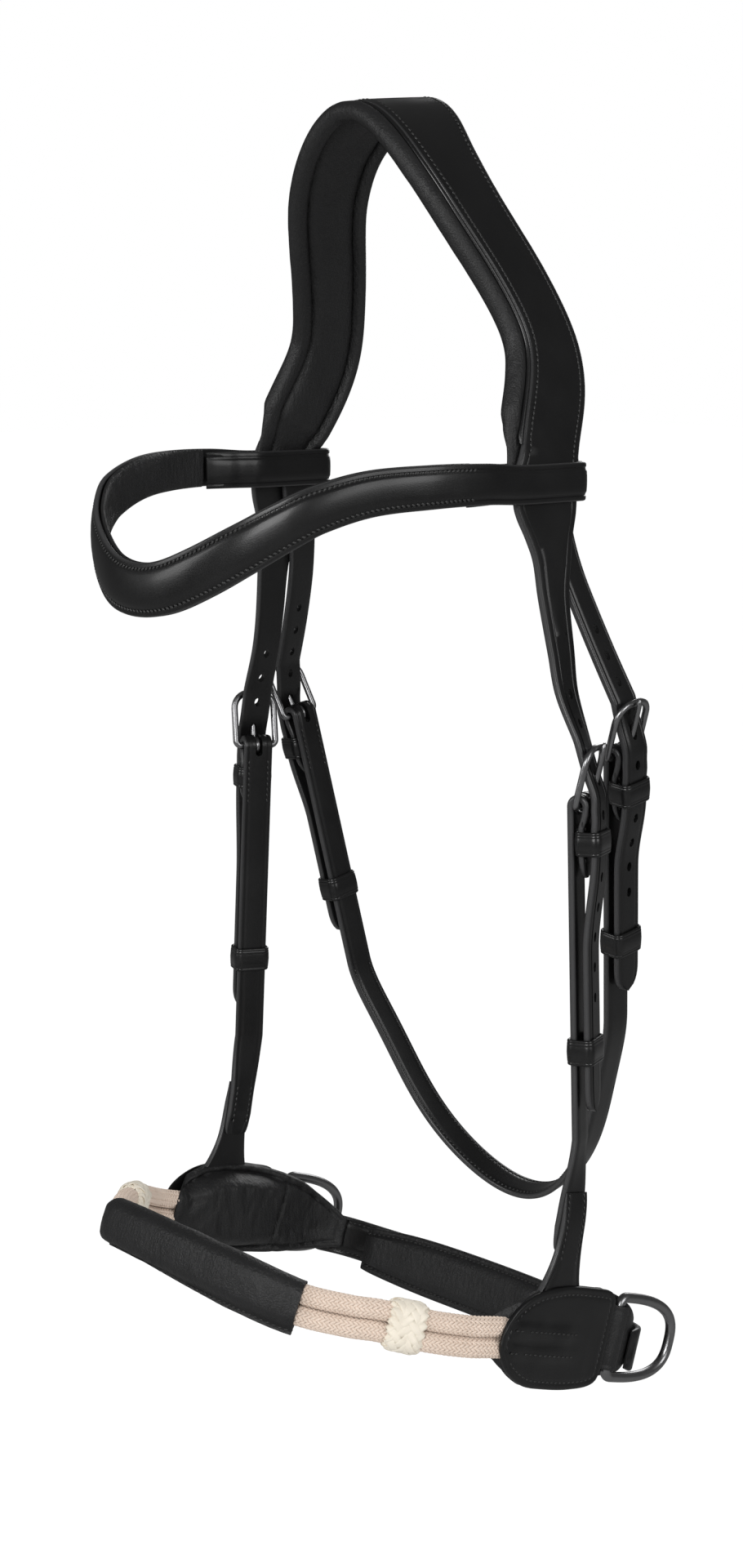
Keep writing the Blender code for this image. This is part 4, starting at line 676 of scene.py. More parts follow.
# Padding under the headpiece
def paddingOutline(width, fade):
    deep = 1.0 - fade
    left, right = -width / 2, width / 2 - head["rearInset"]
    thin, roll, rear = head["liningThin"], head["roll"], head["rearRoll"]
    rollX = left + roll + fade * roll
    rollY = -head["rollDepth"] * deep - (thin / 2 + 2 * gap) * fade
    rearX = right - rear
    rearY = -(rear + 2 * gap) * deep - (thin / 2 + 2 * gap) * fade
    full = -max(head["pad"] * deep, thin)
    channel = full * head["channel"]
    rollSize = roll * deep + thin / 2 * fade
    rearSize = rear * deep + thin / 2 * fade
    points = []
    for k in range(15):
        angle = math.radians(62 + 250 * k / 14)
        points.append((rollX + roll * math.cos(angle), rollY + rollSize * math.sin(angle)))
    innerLeft, innerRight = rollX + roll * 1.05, rearX - rear * 1.12
    for k in range(17):
        share = k / 16
        lift = (1.0 - abs(2 * share - 1) ** 4.5)
        points.append((innerLeft + (innerRight - innerLeft) * share, channel + (full - channel) * lift))
    for k in range(11):
        angle = math.radians(222 + 210 * k / 10)
        points.append((rearX + rear * math.cos(angle), rearY + rearSize * math.sin(angle)))
    points.append((left + head["frontOverhang"] * 1.6, -2 * gap))
    points.append((left + head["frontOverhang"], -2 * gap))
    return points


rings = []
fadeStart = browZ + head["browWidth"]
for row, here in zip(crown, crownFrames):
    if row[2] <= browZ + head["liningRise"]:
        continue
    fade = clamp((fadeStart - row[2]) / (head["browWidth"] / 2))
    ring = onFrame(here, paddingOutline(row[6], fade))
    for k in range(15, 32):
        swell = noise.noise(ring[k] * 260.0) * 0.22 * mm + noise.noise(ring[k] * 90.0) * 0.30 * mm
        ring[k] = ring[k] + here[2] * swell * (1.0 - fade)
    for k in range(3, 14):
        ring[k] = ring[k] + (ring[k] - here[0]).normalized() * noise.noise(ring[k] * 150.0) * 0.12 * mm
    rings.append(ring)
headpieceLining = makePiece("headpieceLining", skin(rings), softLeather, "headpiece_lining", sharpFrom=60.0)
print("headpiece padding made")


# Throatlatch billets
throatBilletShares = (
    (0.000, 0.00, 0.000, 1.00), (0.010, 0.02, 0.110, 0.70), (0.050, 0.07, 0.180, 0.38),
    (0.105, 0.20, 0.283, 0.12), (0.165, 0.39, 0.377, 0.0), (0.370, 0.47, 0.471, 0.0),
    (0.500, 0.57, 0.574, 0.0), (0.600, 0.65, 0.642, 0.0))
for sideName, label, side in sides:
    place = throatSeats[sideName]
    root = Vector(((head["halfWidth"] - gap - leather) * side, legY + (head["width"] - throat["root"]) / 2,
                   browZ + head["liningRise"] - 2 * gap))
    lined = seatPoint(place, 0.0, billetFace)
    rows = []
    for out, behind, down, share in throatBilletShares:
        point = Vector((root.x + (lined.x - root.x) * out, root.y + (lined.y - root.y) * behind,
                        root.z + (lined.z - root.z) * down))
        across = back.lerp(place["across"], max(0.0, (down - 0.3) / 0.7))
        rows.append(rowAt(point, across, strapWidth + (throat["root"] - strapWidth) * share))
    fastened = billetRows(place, throat["tip"])
    rows = smoothRows(rows + [fastened[0]])[:-1] + fastened
    drawn = softened(evened(rows, 1.8 * mm), lambda spot: spot.z < browZ - 14.0 * mm
                     and spot.z > place["bar"].z + 24.0 * mm, 140)
    if side < 0:
        drawn.reverse()
    billetBm = strapBand(framesOf(drawn), halvesOf(drawn), 0.0, leather, inset=2.0 * mm,
                         groove=0.28 * mm, dome=0.2 * mm)
    node = "throat_billet_" + sideName
    billet = makePiece("throatBillet" + label, billetBm, strapLeather, node)
    holes = bmesh.new()
    punchHoles(holes, drawn if side > 0 else drawn[::-1], place, *throat["holes"])
    cutWith(billet, holes)
print("throatlatch billets made")


# Browband
brow = {"reach": 141.0 * mm, "dip": 39.2 * mm, "width": 21.3 * mm, "leather": 2.4 * mm, "crown": 1.4 * mm,
        "lining": 1.8 * mm, "room": 0.4 * mm, "slack": 1.8 * mm, "rear": 25.0 * mm, "seam": 41.0 * mm,
        "sewn": 2.5 * mm}
browShares = (
    (1.045, 0.098, 0.000, 0.00), (1.066, 0.250, -0.030, 0.08), (1.020, 0.435, -0.022, 0.22),
    (0.903, 0.605, 0.030, 0.35), (0.797, 0.745, 0.175, 0.48), (0.711, 0.820, 0.330, 0.60),
    (0.563, 0.898, 0.560, 0.80), (0.375, 0.956, 0.790, 0.93), (0.188, 0.990, 0.950, 1.00),
    (0.000, 1.000, 1.000, 1.00))
loopShares = ((1.00, 0.95), (0.88, 0.90), (0.62, 0.55), (0.36, 0.0))
loopWidth = brow["width"] * 0.745
loopOuter = head["halfWidth"] + leather + brow["room"]
loopInner = head["halfWidth"] - gap - leather - brow["slack"]
seamX = browShares[1][0] * head["halfWidth"] - brow["leather"] - 3 * gap
fold = (loopOuter - loopInner) / 2
loopRows = [rowAt((loopInner + (seamX - loopInner) * x, -brow["seam"] * y, browZ), up, loopWidth, 0.0)
            for y, x in loopShares]
foldMiddle = Vector(((loopOuter + loopInner) / 2, brow["rear"] - fold, browZ))
for k in range(13):
    angle = math.pi * (1 - k / 12)
    loopRows.append(rowAt(foldMiddle + Vector((fold * math.cos(angle), fold * math.sin(angle), 0.0)),
                          up, loopWidth, 0.0))
frontRows = [rowAt((x * head["halfWidth"], -y * brow["reach"], browZ - z * brow["dip"]),
                   up, loopWidth + (brow["width"] - loopWidth) * wide, wide) for x, y, z, wide in browShares]
loopPart = smoothRows(loopRows[:4] + [loopRows[4]])[:-1] + loopRows[4:-1]
acrossFront = smoothRows([loopRows[-1]] + frontRows + [(-r[0], *r[1:]) for r in reversed(frontRows[:-1])]
                         + [(-loopRows[-1][0], *loopRows[-1][1:])], 1.8 * mm)
browRows = [(-r[0], *r[1:]) for r in loopPart] + list(reversed(acrossFront)) + list(reversed(loopPart))
browFrames = framesOf(browRows)


def bandOutline(half, low, high, swell):
    ease = (high - low) * 0.32
    side = half - brow["sewn"]
    outline = [(-half + ease, low), (-half * 0.4, low), (half * 0.4, low), (half - ease, low),
               (half - ease * 0.3, low + ease * 0.3), (half, low + ease), (half, high - ease),
               (half - ease * 0.3, high - ease * 0.3), (half - ease, high)]
    top = [(side + 0.6 * mm, high + 0.05 * mm), (side + 0.25 * mm, high - 0.28 * mm),
           (side - 0.25 * mm, high - 0.22 * mm), (side - 0.9 * mm, high + swell * 0.28),
           (half * 0.52, high + swell * 0.66), (half * 0.26, high + swell * 0.92)]
    outline += top + [(0.0, high + swell)] + [(-a, b) for a, b in reversed(top)]
    outline += [(ease - half, high), (ease * 0.3 - half, high - ease * 0.3), (-half, high - ease),
                (-half, low + ease), (ease * 0.3 - half, low + ease * 0.3)]
    return outline


rings = []
for i, (row, here) in enumerate(zip(browRows, browFrames)):
    fromEnd = min(i, len(browRows) - 1 - i)
    skive = min(1.0, 0.30 + fromEnd / 9)
    rings.append(onFrame(here, bandOutline(row[6] / 2, 0.0, brow["leather"] * skive,
                                           brow["crown"] * min(1.0, max(0.35 * skive, row[7] * 2)))))
makePiece("browbandLeather", skin(rings, edgeSheenShare=strapEdgeSheen), strapLeather, "browband_strap", "browband")
threads = bmesh.new()
front = [(row, here) for row, here in zip(browRows, browFrames) if row[1] < -brow["seam"] * 1.02]
frontFrames = [here for row, here in front]
for way in (-1.0, 1.0):
    stitchAlong(threads, frontFrames, [(row[6] / 2 - brow["sewn"]) * way for row, here in front],
                brow["leather"] + 0.05 * mm, pitch=2.1 * mm, length=2.0 * mm, thick=0.6 * mm, slant=38.0 * way)
makeThreads("browbandStitches", threads, "browband_strap", "browband")


def liningOutline(half, low, high, swell):
    ease = (high - low) * 0.45
    outline = [(half - ease, high), (half, high - ease * 0.7), (half, low + ease), (half - ease, low)]
    for k in range(1, 16):
        share = 1 - k / 8
        outline.append(((half - ease) * share, low - swell * (1 - share ** 4)))
    outline += [(ease - half, low), (-half, low + ease), (-half, high - ease * 0.7), (ease - half, high)]
    return outline


rings = []
for row, here in front:
    ring = onFrame(here, liningOutline(row[6] / 2, -2 * gap - brow["lining"], -2 * gap, 0.5 * mm))
    for k in range(4, 19):
        crease = noise.noise(Vector((ring[k].x * 700, ring[k].y * 700, ring[k].z * 120)))
        ring[k] = ring[k] + here[2] * (crease * 0.42 * mm)
    rings.append(ring)
browbandLining = makePiece("browbandLining", skin(rings), softLeather, "browband_lining", "browband",
                           sharpFrom=60.0)
print("browband made")


# Cheekpieces, side pieces and throatlatch
sideShares = ((0.00, 0.00, 0.00), (0.20, 0.25, 0.245), (0.20, 0.48, 0.485), (0.10, 0.70, 0.680),
              (0.00, 0.88, 0.850), (0.00, 1.00, 1.000))
nose = {"ahead": 9.0 * mm, "drop": 502.0 * mm, "tilt": math.radians(18.5), "plane": 109.7 * mm,
        "length": 74.5 * mm, "high": 43.5 * mm, "deep": 14.5 * mm, "rim": 3.0 * mm, "facing": 2.0 * mm}
noseTurn = Matrix.Rotation(-nose["tilt"], 4, "X")
noseTurn.translation = Vector((0.0, -nose["ahead"], -nose["drop"]))
foot = {"y": -nose["length"] * 0.0966, "z": 12.5 * mm, "wide": nose["length"] * 0.3624,
        "ahead": 6.0 * mm, "behind": 1.8 * mm, "bulge": 0.7 * mm, "skive": 0.20}
wrap = {"first": 6.4, "pitch": 0.75, "radius": 0.38 * mm}


def runRows(place, length):
    return [rowAt(seatPoint(place, -s, innerRun), place["across"], strapWidth, leather)
            for s in (length, length * 0.75, length / 2, length / 4, eyeRadius * 2)]


def foldedRows(place):
    rows = []
    for k in range(13):
        angle = math.pi * (1 - k / 12)
        rows.append(rowAt(seatPoint(place, foldRadius * math.sin(angle), foldRadius * math.cos(angle)),
                          place["across"], strapWidth, leather))
    shortEnd = buckle["shortEnd"]
    low = [rowAt(seatPoint(place, s, n), place["across"], strapWidth * wide, leather * thick)
           for s, n, wide, thick in (
               (-foldRadius, foldRadius, 1.0, 1.0),
               (-buckle["keeperTop"] * 0.55, (foldRadius + shortFace) / 2, 1.0, 0.93),
               (-buckle["keeperTop"] * 0.9, shortFace, 1.0, 0.85), (-shortEnd * 0.70, shortFace, 1.0, 0.85),
               (-shortEnd * 0.85, shortFace, 0.78, 0.80), (-shortEnd * 0.96, shortFace, 0.45, 0.70),
               (-shortEnd, shortFace, 0.20, 0.60))]
    return rows + smoothRows(low, 1.5 * mm)[1:]


def cheekInterface(place):
    start = seatPoint(place, -cheek["run"], innerRun)
    end = noseTurn @ Vector(((nose["plane"] - 2 * gap - leather) * place["side"], foot["y"], foot["z"]))
    return [rowAt((start.x + (end.x - start.x) * ahead + 3.0 * mm * out * place["side"],
                   start.y + (end.y - start.y) * ahead, start.z + (end.z - start.z) * down),
                  place["across"], strapWidth) for out, ahead, down in sideShares]


def alongTo(rows, length):
    kept, gone = [rows[0]], 0.0
    for a, b in zip(rows, rows[1:]):
        step = (Vector(b[:3]) - Vector(a[:3])).length
        if gone + step >= length:
            t = (length - gone) / step
            kept.append(tuple(p + (q - p) * t for p, q in zip(a, b)))
            return kept
        gone += step
        kept.append(b)
    return kept


def foldSlot(place):
    # the opening for the prong in a strap's fold
    bm = bmesh.new()
    reach = foldRadius + leather + 2.0 * mm
    drop = eyeRadius + buckle["prong"] + gap
    middle = seatPoint(place, (reach - drop) / 2, 0.0)
    bmesh.ops.create_cube(bm, size=2.0, matrix=stretched(
        middle, place["across"] * (1.6 * mm), place["up"] * ((reach + drop) / 2), place["out"] * reach))
    upright = [edge for edge in bm.edges
               if abs((edge.verts[0].co - edge.verts[1].co).normalized().dot(place["out"])) > 0.9]
    bmesh.ops.bevel(bm, geom=upright, offset=1.5 * mm, offset_type="OFFSET", segments=5, profile=0.5,
                    affect="EDGES", material=-1)
    return bm


def throughWrap(bm, place):
    # waxed thread wound across the folded end, just below the bar
    for k in range(3):
        rings = []
        for j in range(9):
            share = j / 8 * 2 - 1
            face = shortFace + leather * 0.9 - abs(share) ** 4 * 0.5 * mm
            point = seatPoint(place, -(wrap["first"] + wrap["pitch"] * k) * mm, face, share * strapWidth / 2)
            rings.append(laid(point, place["up"], place["out"], circle(8, wrap["radius"], wrap["radius"])))
        joinInto(bm, skin(rings))


def foldStitches(bm, place):
    # two rows down the folded end's face, and two on the strap's inner face
    for aside in (-strapWidth / 2 + 2.2 * mm, strapWidth / 2 - 2.2 * mm):
        for first, count, face, way in ((8.0, 16, shortFace + leather * 0.85 + 0.10 * mm, 1.0),
                                        (6.0, 22, innerRun - leather - 0.04 * mm, -1.0)):
            points = [seatPoint(place, -(first + k) * mm, face, aside) for k in range(count)]
            stitches(bm, points, [place["out"] * way] * count)


for sideName, label, side in sides:
    place = cheekSeats[sideName]
    footWay = Vector((0.0, math.cos(nose["tilt"]), -math.sin(nose["tilt"])))
    interface = []
    for row in smoothRows(cheekInterface(place), 1.6 * mm):
        t = clamp((seatPoint(place, -cheek["run"], innerRun).z - row[2]) / (26.0 * mm))
        interface.append(rowAt(row[:3], Vector(row[3:6]).lerp(footWay, eased(t)), row[6]))
    straight = [(*row[:7],) for row in evened(runRows(place, cheek["run"]), 3.0 * mm)]
    settled = softened(straight[::-1] + interface[1:],
                       lambda spot: (spot - place["bar"]).length > cheek["bend"], 90)
    interface = settled[len(straight) - 1:]
    inner = [(*row, leather) for row in alongTo(interface, cheek["seam"] + cheek["lap"])]
    for k, row in enumerate(inner[-8:]):
        inner[len(inner) - 8 + k] = (*row[:6], row[6] * (1.0, 1.0, 1.0, 1.0, 0.99, 0.96, 0.90, 0.78)[k],
                                     row[7] * (1.0 - 0.085 * k))
    middle = [(*row, leather) for row in reversed(settled[:len(straight) - 1])]
    rows = inner[::-1] + middle + foldedRows(place)
    if side < 0:
        rows.reverse()
    bm = strapBand(framesOf(rows), halvesOf(rows), 0.0, [row[7] for row in rows],
                   groove=0.25 * mm, dome=0.15 * mm)
    node = "cheek_strap_" + sideName
    cutWith(makePiece("cheekStrap" + label, bm, strapLeather, node), foldSlot(place))
    threads = bmesh.new()
    foldStitches(threads, place)
    throughWrap(threads, place)

    above = alongTo(interface, cheek["lap"])
    tongue = [above[-1]] + interface[len(above) - 1:]
    rows = []
    for row in tongue:
        t = (tongue[0][2] - row[2]) / (tongue[0][2] - tongue[-1][2])
        across = Vector(row[3:6])
        width = strapWidth + (foot["wide"] - strapWidth) * max(0.0, (t - 0.25) / 0.75) ** 2
        flare = max(0.0, (t - 0.45) / 0.55) ** 2.2
        ahead, behind = foot["ahead"] * flare, foot["behind"] * max(0.0, (t - 0.7) / 0.3) ** 2
        middle = Vector(row[:3]) + across * (behind - ahead) / 2
        middle += Vector((foot["bulge"] * side * t * t, 0.0, 0.0))
        skive = foot["skive"] + (1.0 - foot["skive"]) * math.sin(math.pi / 2 * min(1.0, t / 0.34))
        rows.append(rowAt(middle, across, width + ahead + behind, skive))
    if side < 0:
        rows.reverse()
    frames = framesOf(rows)
    faces = [leather * 0.9 * row[7] for row in rows]
    bm = strapBand(frames, halvesOf(rows), 0.05 * mm, [0.1 * mm + face for face in faces],
                   inset=2.0 * mm, groove=0.3 * mm, dome=0.2 * mm)
    node = "side_piece_" + sideName
    makePiece("sidePiece" + label, bm, strapLeather, node)
    outer, inner = ((0.03, 0.62), (0.03, 0.39)) if side > 0 else ((0.38, 0.97), (0.61, 0.97))
    for way in (-1.0, 1.0):
        halves = [min(row[6], strapWidth) / 2 for row in rows]
        stitchAlong(threads, frames, [(half - 2.0 * mm) * way for half in halves],
                    [0.12 * mm + face for face in faces], *outer)
        stitchAlong(threads, frames, [(half - 2.6 * mm) * way for half in halves],
                    -leather - 0.02 * mm, *inner)
    makeThreads("cheekStitches" + label, threads, node)

throatShares = ((0.822, 0.311, 0.343), (0.698, 0.489, 0.565), (0.568, 0.630, 0.724), (0.367, 0.798, 0.867),
                (0.189, 0.933, 0.957))
lowAcross = Vector((0.0, 0.963, 0.269))
throatBottom = Vector((0.0, 81.5 * mm, -489.0 * mm))


def throatHalf(place):
    end = seatPoint(place, -throat["run"], innerRun)
    rows = []
    for x, y, z in reversed(throatShares):
        drop = throatBottom - end
        point = Vector((end.x * x, end.y + drop.y * y, end.z + drop.z * z))
        rows.append(rowAt(point, lowAcross.lerp(place["across"], x ** 2), strapWidth, leather))
    return rows, evened(runRows(place, throat["run"]), 2.0 * mm), foldedRows(place)


leftLow, leftRun, leftFold = throatHalf(throatSeats["left"])
rightLow, rightRun, rightFold = throatHalf(throatSeats["right"])
rightLow.reverse()
lowRows = smoothRows([rightRun[0]] + rightLow + [rowAt(throatBottom, lowAcross, strapWidth, leather)]
                     + leftLow + [leftRun[0]])


def hangsFree(spot, reach=throat["bend"]):
    return all((Vector(spot[:3]) - place["bar"]).length > reach for place in throatSeats.values())


wholeRows = rightFold[::-1] + rightRun[::-1] + lowRows[1:-1] + leftRun + leftFold
lowest = [i for i, row in enumerate(wholeRows) if hangsFree(row, throat["fixed"])]
hung = inLine(softened(evened(wholeRows[lowest[0]:lowest[-1] + 1], 2.0 * mm), hangsFree, 80), hangsFree, 2500)
throatRows = wholeRows[:lowest[0]] + hung + wholeRows[lowest[-1] + 1:]
throatFrames = framesOf(throatRows)
throatBm = strapBand(throatFrames, halvesOf(throatRows), 0.0, [row[7] for row in throatRows],
                     inset=1.9 * mm, groove=0.32 * mm, dome=0.2 * mm)
throatStrap = makePiece("throatStrap", throatBm, strapLeather, "throat_strap")
threads = bmesh.new()
for place in throatSeats.values():
    cutWith(throatStrap, foldSlot(place))
    foldStitches(threads, place)
    throughWrap(threads, place)
freeFrames = [here for here in throatFrames if hangsFree(here[0])]
sewEdges(threads, freeFrames, [strapWidth / 2] * len(freeFrames), 1.9 * mm, leather - 0.02 * mm,
         length=1.4 * mm, pitch=2.4 * mm)
makeThreads("throatStitches", threads, "throat_strap")
print("cheekpieces and throatlatch made")


# Buckles, prongs and keepers
def tube(points, radii, sideWay, closedPath=False, count=14, flat=1.0):
    rings = []
    total = len(points)
    for i, point in enumerate(points):
        ahead = points[(i + 1) % total] if closedPath else points[min(i + 1, total - 1)]
        behind = points[i - 1] if closedPath else points[max(i - 1, 0)]
        travel = (ahead - behind).normalized()
        outward = travel.cross(sideWay).normalized()
        radius = radii[i] if isinstance(radii, list) else radii
        rings.append(laid(point, outward, sideWay, circle(count, radius, radius * flat)))
    return skin(rings, closedPath=closedPath)


def arcPoints(centre, xWay, yWay, radius, start, end, steps):
    turns = [math.radians(start + (end - start) * k / steps) for k in range(steps + 1)]
    return laid(centre, xWay, yWay, [(radius * math.cos(turn), radius * math.sin(turn)) for turn in turns])


def keeperBm(place, middle, high, low, top):
    # a leather loop: its wall's outline, with two creases, carried round the straps
    wall, corner, half = buckle["keeperWall"], 2.5 * mm, high / 2
    outer = strapWidth / 2 + gap + wall / 2 - corner
    lowMid, topMid = low - wall / 2 + corner, top + wall / 2 - corner
    path = []
    for cx, cy, start in ((outer, topMid, 0), (-outer, topMid, 90), (-outer, lowMid, 180),
                          (outer, lowMid, 270)):
        for k in range(9):
            angle = math.radians(start + 90 * k / 8)
            path.append((cx + corner * math.cos(angle), cy + corner * math.sin(angle),
                         math.cos(angle), math.sin(angle)))
    dense = []
    for here, after in zip(path, path[1:] + path[:1]):
        dense.append(here)
        if math.hypot(after[0] - here[0], after[1] - here[1]) > 2.0 * mm:
            for q in (0.25, 0.5, 0.75):
                dense.append(tuple(p + (r - p) * q for p, r in zip(here, after)))
    outline = [(half - inset * mm, rise) for inset, rise in (
        (2.6, 0.72), (2.35, 0.64), (2.1, 0.70), (1.5, 0.62), (1.2, 0.46), (0.9, 0.60), (0.3, 0.5), (0.0, 0.2),
        (0.0, -0.2), (0.25, -0.5))]
    outline = [(-s, t) for s, t in reversed(outline)] + [(0.0, 0.84)] + outline
    return skin([[seatPoint(place, middle + s, n + nn * wall * t, (x + nx * wall * t) * place["side"])
                  for s, t in outline] for x, n, nx, nn in dense], closedPath=True)


for strapName, seats, strap in (("cheek", cheekSeats, cheek), ("throat", throatSeats, throat)):
    for sideName, label, side in sides:
        place = seats[sideName]
        bar = place["bar"]
        tag, name = strapName + "_" + sideName + "_", strapName + label
        xWay, fWay, gWay = place["across"], leanWay(place, 1.0, 0.0), leanWay(place, 0.0, 1.0)
        half, long, prong = buckle["half"], buckle["length"], buckle["prong"]
        points = []
        low, high = buckle["barCorner"], buckle["corner"]
        for x, f, radius, start in ((half, 0.0, low, -90), (half, long, high, 0),
                                    (-half, long, high, 90), (-half, 0.0, low, 180)):
            centre = bar + xWay * (x - math.copysign(radius, x)) + fWay * abs(f - radius)
            points += arcPoints(centre, xWay, fWay, radius, start, start + 90, 8)
        makePiece(name + "Buckle", tube(points, buckle["wire"], gWay, True, 16, 0.92), gunMetal,
                  tag + "buckle", tag + "buckle")
        points = arcPoints(bar, fWay, gWay, eyeRadius, 90, 365, 22)[::-1]
        points += [bar + fWay * long * share + gWay * eyeRadius for share in (0.25, 0.5, 0.75, 0.92)]
        over = buckle["overrun"]
        for past, drop in ((0.6 * mm, 0.0), (over * 0.8, 0.15 * mm), (over, 0.3 * mm)):
            points.append(bar + fWay * (long + past) + gWay * (eyeRadius - drop))
        radii = [prong] * (len(points) - 3) + [prong * 0.96, prong * 0.78, prong * 0.4]
        makePiece(name + "Prong", tube(points, radii, xWay, False, 14, 1.15), gunMetal,
                  tag + "prong", tag + "prong")
        bm = keeperBm(place, -(buckle["keeperTop"] + buckle["keeperHigh"] / 2), buckle["keeperHigh"],
                      keeperInner + buckle["keeperWall"], billetFace + leather + gap)
        makePiece(name + "Keeper", bm, glossLeather, tag + "keeper")
        bm = keeperBm(place, -strap["slider"], buckle["sliderHigh"], innerRun - leather - gap,
                      billetLow + leather + gap)
        makePiece(name + "Slider", bm, glossLeather, tag + "slider", tag + "slider")
print("buckles and keepers made")


# Cheek pads of the noseband
def nosePoint(x, y, z):
    return noseTurn @ Vector((x, y, z))


padShares = (
    (-0.545, -0.105, 0.070, 0.000, 0.55), (-0.515, -0.205, 0.170, 0.000, 0.60),
    (-0.470, -0.295, 0.258, 0.000, 0.64), (-0.430, -0.350, 0.322, 0.000, 0.70),
    (-0.380, -0.405, 0.380, 0.000, 0.80), (-0.295, -0.460, 0.448, 0.000, 0.92),
    (-0.094, -0.487, 0.517, 0.000, 1.00), (0.134, -0.460, 0.529, 0.000, 1.00),
    (0.310, -0.405, 0.505, 0.000, 0.93), (0.340, -0.395, 0.495, 0.000, 0.92),
    (0.358, -0.388, 0.488, 0.434, 0.91), (0.490, -0.365, 0.440, 0.434, 0.86),
    (0.617, -0.330, 0.356, 0.434, 0.88), (0.752, -0.270, 0.230, 0.745, 1.05),
    (0.846, -0.220, 0.110, 1.097, 1.33))
padOutline = (
    (-0.550, -0.046), (-0.510, 0.184), (-0.416, 0.345), (-0.295, 0.448), (-0.094, 0.517), (0.134, 0.529),
    (0.300, 0.506), (0.336, 0.400), (0.336, -0.240), (0.300, -0.400), (0.107, -0.471), (-0.134, -0.483),
    (-0.295, -0.460), (-0.443, -0.345), (-0.523, -0.184))
rope = {"radius": 4.3 * mm, "drop": 1.5 * mm, "sink": 4.6 * mm, "in": nose["length"] * 0.577}


def closedCurve(points, count):
    # evenly spaced points on a smooth closed curve
    circled = points[-3:] + points + points[:4]
    dense = smoothRows([(a, b, 0.0, 0.0, 0.0, 1.0) for a, b in circled], 0.4 * mm)

    def nearest(places):
        return min(places, key=lambda i: abs(dense[i][0] - points[0][0]) + abs(dense[i][1] - points[0][1]))

    half = len(dense) // 2
    loop = evened(dense[nearest(range(half)):nearest(range(half, len(dense))) + 1], 0.2 * mm)
    return [Vector(loop[round(k * (len(loop) - 1) / count)][:2]) for k in range(count)]


